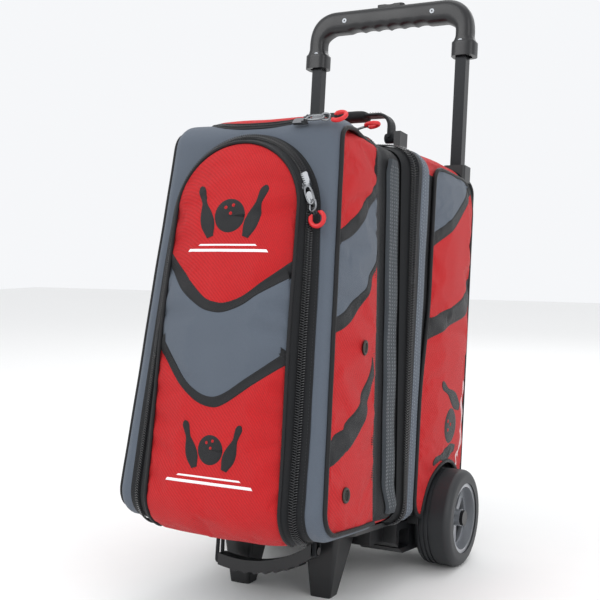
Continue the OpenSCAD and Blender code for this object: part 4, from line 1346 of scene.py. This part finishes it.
def make_rear_shell():
    """Wall round the rear section: grey band in front, red top and black sides."""
    ys = np.concatenate([np.linspace(BALL_Y + 0.6, 50, 3), np.linspace(50, BAND_BACK, 7)[1:],
                         np.linspace(BAND_BACK, BACK_Y - 1, 44)[1:]])
    points, outward = loop_grid(ys, REAR_HALF, REAR_HALF, BASE_Z, TOP_Z, (14, 30), CROWN, step=4)
    around = np.arange(len(points))[:, None] * 4.0
    share = np.clip((ys[None] - 48) / (BAND_BACK - 48), 0, 1)
    band = (ys[None] < BAND_BACK + 1) * np.sin(math.pi * share) ** 2
    puff = 1.6 * band + folds(around, points[..., 1], 81, 80, 1.0) * (ys[None] > 52)
    on_top = smooth_step(points[..., 2], TOP_Z - 8, TOP_Z + 4)
    share = np.clip((ys[None] - BAND_BACK) / (BACK_Y - BAND_BACK), 0, 1)
    puff = puff + 3.0 * on_top * np.sin(math.pi * share)
    points = points + outward * puff[..., None]
    points[-1] = points[0]
    fall = top_fall(points[..., 1])
    points[..., 2] = np.where(points[..., 2] > 480, np.minimum(points[..., 2], fall + 2), points[..., 2])
    # Side walls sit a little inside the padded side panels
    on_side = np.abs(points[..., 0]) > REAR_HALF - 6
    tuck = 2.5 * smooth_step(points[..., 1], BAND_BACK, BAND_BACK + 8) * on_side
    points[..., 0] -= np.sign(points[..., 0]) * tuck
    points = snap_to_well(points)
    normals = grid_normals(points, outward)
    middles = (points[:-1, :-1] + points[1:, 1:]) / 2
    keep = ~beside_wheel(middles).ravel()
    for side in (-1, 1):
        tube = np.hypot(middles[..., 0] - side * TUBE_X, middles[..., 1] - TUBE_Y) < 12.5
        keep &= ~(tube & (middles[..., 2] > 500)).ravel()

    def rule(middle):
        x, y, z = np.moveaxis(middle, -1, 0)
        kinds = np.zeros(x.shape, int)
        kinds[(y > 50) & (y < BAND_BACK)] = 1
        kinds[(y > BAND_BACK) & (y < 205) & (z > TOP_Z - 24)] = 2
        return kinds

    kinds = panel_colours(points, rule)[keep]
    rows, cols = points.shape[:2]
    front = facing(points, normals) < 0
    cloth = lengths(points).reshape(-1, 2)
    shell = Build()
    shell.add(points, quads(rows, cols, front)[keep], cloth, ([BLACK, SLATE, RED], kinds))
    shell.add(points - normals * FABRIC, quads(rows, cols, not front)[keep], cloth, LINING)
    shell.grid(np.stack([points[:, 0], points[:, 0] - normals[:, 0] * FABRIC]), LINING)
    shell.done("rear_shell", "bag_base", ["rear_top", "rear_bottom", "rear_band"])
    return points, normals, ys


TUBE_LOW, TUBE_HIGH = bag_box("middle_tubes")
TUBE_X = (TUBE_HIGH[0] - (TUBE_HIGH[1] - TUBE_LOW[1]) / 2)
TUBE_Y = (TUBE_LOW[1] + TUBE_HIGH[1]) / 2
REAR, REAR_NORMALS, REAR_YS = make_rear_shell()


def make_ball_zip():
    """The chunky zip between ball door and rear section, on a sloping band that joins their edges."""
    count = 620
    near = loop_path(MID_LOW_HALF, MID_TOP_HALF, MID_LOW, MID_HIGH, BALL_Y - 18, (24, 24))
    near = resample(near + outward_of(near) * 1.2, count=count)
    far = loop_path(REAR_HALF, REAR_HALF, BASE_Z, TOP_Z, 52, (14, 30), 4, CROWN)
    far = resample(far + outward_of(far) * 0.8, count=count)
    share = np.linspace(0, 1, 15)[None, :, None]
    band = near[:, None] * (1 - share) + far[:, None] * share
    band = band + outward_of(far)[:, None] * 2.0 * np.sin(math.pi * share)
    normals = grid_normals(band, np.broadcast_to(outward_of(far)[:, None], band.shape))
    door_tape = Build()
    door_tape.slab(band[:, :7], normals[:, :7], 1.4, TAPE)
    door_tape.done("ball_door_zip_tape", "ball_door")
    zipper = Build()
    zipper.slab(band[:, 6:] - normals[:, 6:] * 0.3, normals[:, 6:], 1.4, TAPE)
    coil_chain(zipper, band[:, 7] + normals[:, 7] * 1.2, normals[:, 7], pitch=3.2, half=6.0)
    zipper.done("ball_zip_coil", "bag_base", ["ball_zip_chain"])
    seams = Build()
    for y in (55, 60, 69):
        col = int(np.argmin(np.abs(REAR_YS - y)))
        stitch_line(seams, REAR[:, col], REAR_NORMALS[:, col], THREAD, 2.6, 1.7, 0.15, 0.34)
    seams.done("rear_band_stitches", "bag_base")


make_ball_zip()

REAR_SWOOSH_UP = ([(84, 452), (105, 461), (152, 487), (188, 513), (236, 552)],
                  [(84, 432), (104, 442), (150, 467), (190, 496), (236, 533)])
REAR_SWOOSH_MID = ([(84, 345), (92, 346), (130, 356), (191, 379), (250, 418)],
                   [(80, 313), (90, 316), (134, 331), (205, 352), (250, 377)])


def rear_panel_points(side, rows=104, cols=44):
    """Rear side panel: rows up it, columns from its curved front piping to the back edge."""
    low, high = BASE_Z + 1, TOP_Z - 12
    t = np.linspace(0, 1, rows)[:, None]
    u = np.linspace(0, 1, cols)[None]
    z = low + (high - low) * (t - 0.05 * np.sin(2 * math.pi * t)) + 0 * u

    def corner(radius, gap):
        gap = np.clip(gap, 0, radius)
        return radius - np.sqrt(radius ** 2 - (radius - gap) ** 2)

    front = 76 + 16 * smooth_step(z, 230, 380) + corner(24, z - low) + corner(20, high - z)
    back = BACK_Y - 4 - corner(12, z - low) - corner(46, high - z)
    y = front * (1 - u) + back * u
    rise = np.clip((z - low) / (high - low), 0, 1)
    rim = np.sin(math.pi * np.clip(u, 0, 1)) ** 0.45 * np.sin(math.pi * rise) ** 0.3
    # The panel fills out over each ball
    balls = np.exp(-((z - 200) / 75) ** 2) + np.exp(-((z - 420) / 75) ** 2)
    x = REAR_HALF + 1.0 + (PANEL_BULGE - 1.5) * rim * (0.72 + 0.28 * np.clip(balls, 0, 1))
    x = x + folds(y, z, 91 if side > 0 else 92, 75, 1.7) * rim
    return np.stack([side * x, y, z], -1)


REAR_SURFACE = {}


def make_rear_side(side):
    """A padded side panel of the rear section, cut round its wheel."""
    name = "right" if side > 0 else "left"
    points = rear_panel_points(side)
    wheel = beside_wheel(points, 6)
    points = finer(simulated(points, (side, 0, 0), pinned=wheel, pressure=1.2, limit=3.5, seed=7 + side))
    points = snap_to_well(points)
    normals = grid_normals(points, (side, 0, 0))

    def rule(middle):
        y, z = middle[..., 1], middle[..., 2]
        return z > (height_on(REAR_SWOOSH_UP[0], y) + height_on(REAR_SWOOSH_UP[1], y)) / 2

    middles = (points[:-1, :-1] + points[1:, 1:]) / 2
    keep = ~beside_wheel(middles).ravel()
    kinds = panel_colours(points, rule)[keep]
    rows, cols = points.shape[:2]
    front = facing(points, normals) < 0
    cloth = lengths(points).reshape(-1, 2)
    panel = Build()
    panel.add(points, quads(rows, cols, front)[keep], cloth, ([RED, SLATE], kinds))
    panel.add(points - normals * 2, quads(rows, cols, not front)[keep], cloth, LINING)
    panel.done(f"rear_side_panel_{name}", "bag_base", [f"rear_side_{name}"])
    surface = Surface(points)
    REAR_SURFACE[side] = surface
    place = on_side_wall(side, REAR_HALF)
    trim = Build()
    seams = Build()
    for first, second in (REAR_SWOOSH_UP, REAR_SWOOSH_MID):
        laid, up = lay_strip(trim, first, second, 70, 10, surface, place, APPLIQUE, 0.8)
        for row in (1, -2):
            stitch_line(seams, laid[row], up[row], DARK_THREAD, 2.2, 1.1, 0.1, 0.3)
    trim.done(f"rear_swooshes_{name}", "bag_base")
    seams.done(f"rear_swoosh_stitches_{name}", "bag_base")
    # Binding cord round the panel and along the wheel well
    rim = np.vstack([points[0], points[1:, -1], points[-1, -2::-1], points[-2::-1, 0]])
    rim = rim[np.hypot(rim[:, 1] - AXLE[1], rim[:, 2] - AXLE[2]) > WELL_R - 0.5]
    first = int(np.argmax(np.linalg.norm(np.diff(rim, axis=0), axis=1))) + 1
    rim = np.roll(rim, -first, axis=0)
    turn = np.linspace(0, math.pi, 60)
    arc = np.stack([np.full(60, side * (REAR_HALF + 3.0)),
                    AXLE[1] + WELL_R * np.cos(turn), AXLE[2] + WELL_R * np.sin(turn)], 1)
    arc = arc[arc[:, 2] > BASE_Z + 1]
    arc[:, 0] = surface.drop(arc * np.array([1.1, 1, 1]), (-side, 0, 0))[0][:, 0]
    piping = Build()
    piping.tube(resample(rim, 4), 2.8, PIPING, 10)
    piping.tube(resample(arc, 4), 2.6, PIPING, 10)
    piping.done(f"rear_piping_{name}", "bag_base")


for side in (-1, 1):
    make_rear_side(side)


def rear_emblem_wall(side):
    """The rear marks read upwards: their own across runs up the panel."""
    def place(a, b):
        y = 168 - b
        z = 203 + a
        return np.stack([np.full_like(y, side * REAR_HALF), y, z], -1), np.array([-side, 0.0, 0.0])
    return place


for side in (-1, 1):
    label = "right" if side > 0 else "left"
    wall = rear_emblem_wall(side)
    make_emblem(f"rear_emblem_{label}", "bag_base", REAR_SURFACE[side], wall, (2, 10), 80, 0.12)
    stripe = Build()
    for out, half in ((-48, 62), (-56, 46)):
        lay_strip(stripe, [(-half, out), (0, out), (half, out)],
                  [(3 - half, out + 4), (0, out + 4), (half - 3, out + 4)],
                  30, 5, REAR_SURFACE[side], wall, WHITE, 0.35)
    stripe.done(f"rear_stripes_{label}", "bag_base")


def make_back_panel():
    """The back: a fabric-covered board with sewn channels and a bound edge."""
    outline = loop_path(REAR_HALF, REAR_HALF, BASE_Z, TOP_Z, BACK_Y, (14, 30), 4, CROWN)
    outline[:, 2] = np.minimum(outline[:, 2], TOP_Z - 6)
    middle = np.array([0, BACK_Y, 320.0])
    t = np.linspace(0, 1, 46)[:, None, None]
    points = middle + (outline[None] - middle) * t
    channel = np.zeros(points.shape[:2])
    for z in (170, 250, 330, 410, 490):
        channel += np.exp(-((points[..., 2] - z) / 3.0) ** 2)
    puff = 1.6 * (1 - channel) + folds(points[..., 0], points[..., 2], 95, 80, 0.8) - 1.5 * t[..., 0] ** 12
    points[..., 1] = BACK_Y - 1.5 + puff * (1 - t[..., 0] ** 8)
    panel = Build()
    panel.slab(points, grid_normals(points, (0, 1, 0)), 4, BLACK, under=LINING, cloth=points[..., [0, 2]])
    panel.done("back_panel", "bag_base", ["back_board"])
    edge = outline.copy()
    edge[:, 1] = BACK_Y - 2
    piping = Build()
    piping.tube(edge, 2.6, PIPING, 10, closed=True)
    piping.done("back_piping", "bag_base")


make_back_panel()


def make_foam_rings():
    """Foam rings that the two balls sit in."""
    low, high = bag_box("ball_cups")
    rings = Build()
    centre = (low + high) / 2
    outer = (high[0] - low[0]) / 2
    inner = outer - 28
    angle = np.linspace(0, 2 * math.pi, 73)[None]
    turn = np.linspace(0, 2 * math.pi, 29)[:, None]
    for z in (low[2], high[2] - 8):
        # A ring of rounded cross-section
        swell = np.sign(np.cos(turn)) * np.abs(np.cos(turn)) ** 0.5
        reach = (outer + inner) / 2 + (outer - inner) / 2 * swell
        height = z + 4 + 4 * np.sign(np.sin(turn)) * np.abs(np.sin(turn)) ** 0.6
        ring = np.stack([centre[0] + reach * np.cos(angle), centre[1] + reach * np.sin(angle),
                         height + 0 * angle], -1)
        rings.grid(ring, FOAM)
    piece = rings.done("foam_ball_rings", "bag_base", ["ball_cups"])


make_foam_rings()

# ---- handles ----


def ribbon(build, path, across, width, thickness, material):
    """A flat strap along a path, with soft rounded edges."""
    path = np.asarray(path, float)
    ahead = unit(np.gradient(path, axis=0))
    across = np.broadcast_to(np.asarray(across, float), path.shape)
    up = unit(np.cross(ahead, across))
    turn = np.linspace(0, 2 * math.pi, 25)[:, None, None]
    flat = np.sign(np.cos(turn)) * np.abs(np.cos(turn)) ** 0.35 * width / 2
    thick = np.sign(np.sin(turn)) * np.abs(np.sin(turn)) ** 0.6 * thickness / 2
    build.grid(path[None] + across[None] * flat + up[None] * thick, material)
    for end, flip in ((0, False), (-1, True)):
        rim = path[end] + across[end] * flat[:, 0] + up[end] * thick[:, 0]
        build.grid(np.stack([rim, np.repeat(path[end][None], len(rim), 0)]), material, flip=flip)


def make_carry_handle():
    """Webbing handle on the top, with its padded grip."""
    low, high = bag_box("carry_handle")
    y = (low[1] + high[1]) / 2
    top = high[2] - 4
    x = high[0] - 8
    handle = Build()
    path = rounded([(-x, CARRY_Z), (-x, top - 1), (x, top - 1), (x, CARRY_Z)], [16, 16], 3)
    path = np.stack([path[:, 0], np.full(len(path), y), path[:, 1]], 1)
    ribbon(handle, path, (0, 1, 0), 22, 4.5, WEBBING)
    for side in (-1, 1):
        turn = np.linspace(-math.pi / 2, 1.5 * math.pi, 26)
        eye = np.stack([side * x + 0 * turn, y + 5.2 * np.cos(turn), CARRY_Z + 5.2 * np.sin(turn)], 1)
        ribbon(handle, eye, (1, 0, 0), 15, 3, WEBBING)
    handle.done("carry_handle_webbing", "carry_loop", ["carry_handle"])
    # The padded grip sewn round the webbing's middle
    grip = Build()
    xs = np.linspace(-46, 46, 60)[:, None]
    turn = np.linspace(0, 2 * math.pi, 33)[None]
    end = 1 - np.abs(xs / 46) ** 10
    wide = (9 + 5.0 * end ** 0.5)
    thick = 3.2 + 3.6 * end ** 0.5 + 0.5 * folds(xs, turn * 8, 97, 22, 1.0)
    ring = np.stack([xs + 0 * turn, y + wide * np.sign(np.cos(turn)) * np.abs(np.cos(turn)) ** 0.7,
                     top - 1 + thick * np.sign(np.sin(turn)) * np.abs(np.sin(turn)) ** 0.8], -1)
    grip.grid(ring, BLACK)
    for k, flip in ((0, False), (-1, True)):
        grip.grid(np.stack([ring[k], np.repeat(ring[k].mean(0)[None], 33, 0)]), BLACK, flip=flip)
    piece = grip.done("carry_grip_pad", "carry_loop")
    seams = Build()
    for offset in (-9.5, 9.5):
        line = path[np.abs(path[:, 0]) > 50] + np.array([0, offset, 2.4])
        for part in (line[line[:, 0] < 0], line[line[:, 0] > 0]):
            flat = part[part[:, 2] > top]
            if len(flat) > 3:
                stitch_line(seams, flat, np.tile([0.0, 0, 1], (len(flat), 1)), DARK_THREAD)
    if seams.points:
        seams.done("carry_handle_stitches", "carry_loop")


make_carry_handle()


def make_grab_straps():
    """Webbing loops that hold the grab handle under the front."""
    low, high = bag_box("grab_straps")
    pivot = from_frame(np.array(JOINTS["grab_handle_swing"]["pos_m"], float)[None])[0]
    straps = Build()
    for x in (low[0] + 2, high[0] - 2):
        near = from_frame([v.co for v in frame["nodes"]["grab_straps"].data.vertices])
        bottom = near[np.abs(near[:, 0] - x) < 3][:, 2].min() + 6.5
        a = np.linspace(0, math.pi, 14)
        upper = np.stack([x + 0 * a, pivot[1] + 5 * np.cos(a), pivot[2] + 5 * np.sin(a)], 1)
        lower = np.stack([x + 0 * a, pivot[1] - 6 * np.cos(a), bottom - 6 * np.sin(a)], 1)
        loop = resample(np.vstack([upper, lower, upper[:1]]), 2)
        ribbon(straps, loop, (1, 0, 0), 5, 2.2, WEBBING)
    straps.done("grab_strap_webbing", "grab_loop", ["grab_straps"])


make_grab_straps()

def make_grip():
    """The trolley's grip: one smooth moulded arch with finger ribs under its bar."""
    low, high = bag_box("grip_front_shell")
    back = bag_box("grip_back_shell")[1][1]
    half = high[0]
    leg = 31
    bar = 34
    mid_x = half - leg / 2
    mid_z = high[2] - bar / 2
    line = rounded([(-mid_x, low[2]), (-mid_x, mid_z), (mid_x, mid_z), (mid_x, low[2])], [30, 30], 2.5)
    ahead = unit(np.gradient(line, axis=0))
    outer = np.stack([-ahead[:, 1], ahead[:, 0]], 1)
    rise = line[:, 1] - low[2]
    on_bar = smooth_step(rise, 40, 66)
    wide = (leg / 2) * (1 - on_bar) + (bar / 2) * on_bar
    collar = 2.2 * smooth_step(23 - rise, 0, 3)
    wide = wide + collar - 3.0 * smooth_step(rise, 20, 30) * (1 - on_bar)
    deep = (back - low[1]) / 2 - 1.5 + 1.2 * smooth_step(23 - rise, 0, 3)
    ribs = 2.6 * np.abs(np.sin(math.pi * line[:, 0] / 21)) ** 0.7 * (np.abs(line[:, 0]) < 64) * on_bar
    turn = np.linspace(0, 2 * math.pi, 49)[None]
    power = 0.62
    a = np.sign(np.cos(turn)) * np.abs(np.cos(turn)) ** power
    b = np.sign(np.sin(turn)) * np.abs(np.sin(turn)) ** power
    reach = wide[:, None] * a
    reach = np.where(a < 0, reach + ribs[:, None] * np.abs(a), reach)
    middle_y = (low[1] + back) / 2
    points = np.stack([line[:, :1] + outer[:, :1] * reach, middle_y + deep[:, None] * b,
                       line[:, 1:] + outer[:, 1:] * reach], -1)
    grip = Build()
    grip.grid(points, PLASTIC)
    for end, flip in ((0, False), (-1, True)):
        inner = points[end].mean(0) + (points[end] - points[end].mean(0)) * 0.62
        grip.grid(np.stack([points[end], inner]), PLASTIC, flip=flip)
    grip.done("grip_moulding", "inner_stage", ["grip_front_shell", "grip_back_shell"])


make_grip()

# ---- zip pulls ----


def oval(middle, along, across, length, width, count=40):
    """A closed line between an ellipse and a rectangle."""
    turn = np.linspace(0, 2 * math.pi, count)[:, None]
    square = 0.75
    a = np.sign(np.cos(turn)) * np.abs(np.cos(turn)) ** square * length / 2
    b = np.sign(np.sin(turn)) * np.abs(np.sin(turn)) ** square * width / 2
    return middle + along * a + across * b


def make_pull(name, joint):
    """A zip pull: a cast metal loop, a second one through it, a cord and a red finger grip."""
    node = f"{name}_pull"
    place = np.array(JOINTS[joint]["pos_m"], float)[None]
    pin = from_frame(place)[0]
    tip = from_frame(place + np.array(JOINTS[joint]["axis"], float)[None] / 100)[0]
    across = unit(tip - pin)
    shape = from_frame([v.co for v in frame["nodes"][node].data.vertices])
    along = shape.mean(0) - pin
    along = unit(along - across * (along @ across))
    out = np.cross(along, across)
    pull = Build()
    # First tab, cast with a raised rim
    pull.tube(oval(pin + along * 11, along, across, 21, 8.5), 1.35, NICKEL, 10, closed=True)
    plate = np.linspace(0.05, 1, 7)[:, None, None]
    edge = oval(pin + along * 13.5, along, across, 13, 7.5)
    face = (pin + along * 13.5) + (edge - pin - along * 13.5)[None] * plate
    normals = np.broadcast_to(out, face.shape)
    pull.slab(face + out * 0.8, normals, 1.6, NICKEL)
    # Second tab hangs through the first one's end
    link = oval(pin + along * 24, across * 0.25 + along * 0.97, out * 0.3 + across * 0.95, 12, 9.5)
    pull.tube(link, 1.3, NICKEL, 10, closed=True)
    # Cord to the grip
    for offset in (-1.1, 1.1):
        cord = np.array([pin + along * d + across * offset * (1 + 0.4 * math.sin(d))
                         for d in np.linspace(27, 35, 8)])
        pull.tube(cord, 1.0, DARK_THREAD, 8)
    # Finger grip: a U of rubber with rounded ends
    turn = np.linspace(0.16 * math.pi, 1.84 * math.pi, 40)[:, None]
    middle = pin + along * 40.5
    grip = middle + along * 8.2 * np.cos(turn - math.pi) + across * 8.2 * np.sin(turn - math.pi)
    ends = np.linspace(0, 1, 40)
    taper = np.clip(np.sin(math.pi * np.clip(ends * 0.98 + 0.01, 0, 1)) * 4, 0.45, 1)
    pull.tube(grip, 2.5 * taper, RUBBER, 12)
    pull.done(f"{name}_pull_loops", f"{name}_pull_body", [node])


for name in ("pocket", "top", "shoe", "ball"):
    make_pull(name, f"{name}_pull_swing")

# ---- finishes of the CAD's own pieces ----

FINISHES = {
    PLASTIC: ["base_frame", "front_foot_left", "front_foot_right", "wheel_bracket_left",
              "wheel_bracket_right", "tube_bezels", "tube_foot", "carry_anchors", "lock_plugs",
              "release_button", "hub_cap_left", "hub_cap_right", "grab_handle"],
    STEEL: ["axle_rod", "base_screws", "grip_screws", "push_rods", "button_spring"],
    TUBE: ["outer_tubes", "middle_tubes", "inner_tubes"],
    URETHANE: ["tyre_left", "tyre_right"],
    RIM: ["rim_left", "rim_right"],
    NICKEL: ["pocket_slider", "top_slider", "shoe_slider", "ball_slider"],
    BOARD: ["ball_shelf", "divider_board"],
}


def finish_nodes():
    """Gives each CAD node that is still seen its material."""
    for material, names in FINISHES.items():
        for name in names:
            mesh = frame["nodes"][name].data
            mesh.materials.clear()
            mesh.materials.append(material)


finish_nodes()
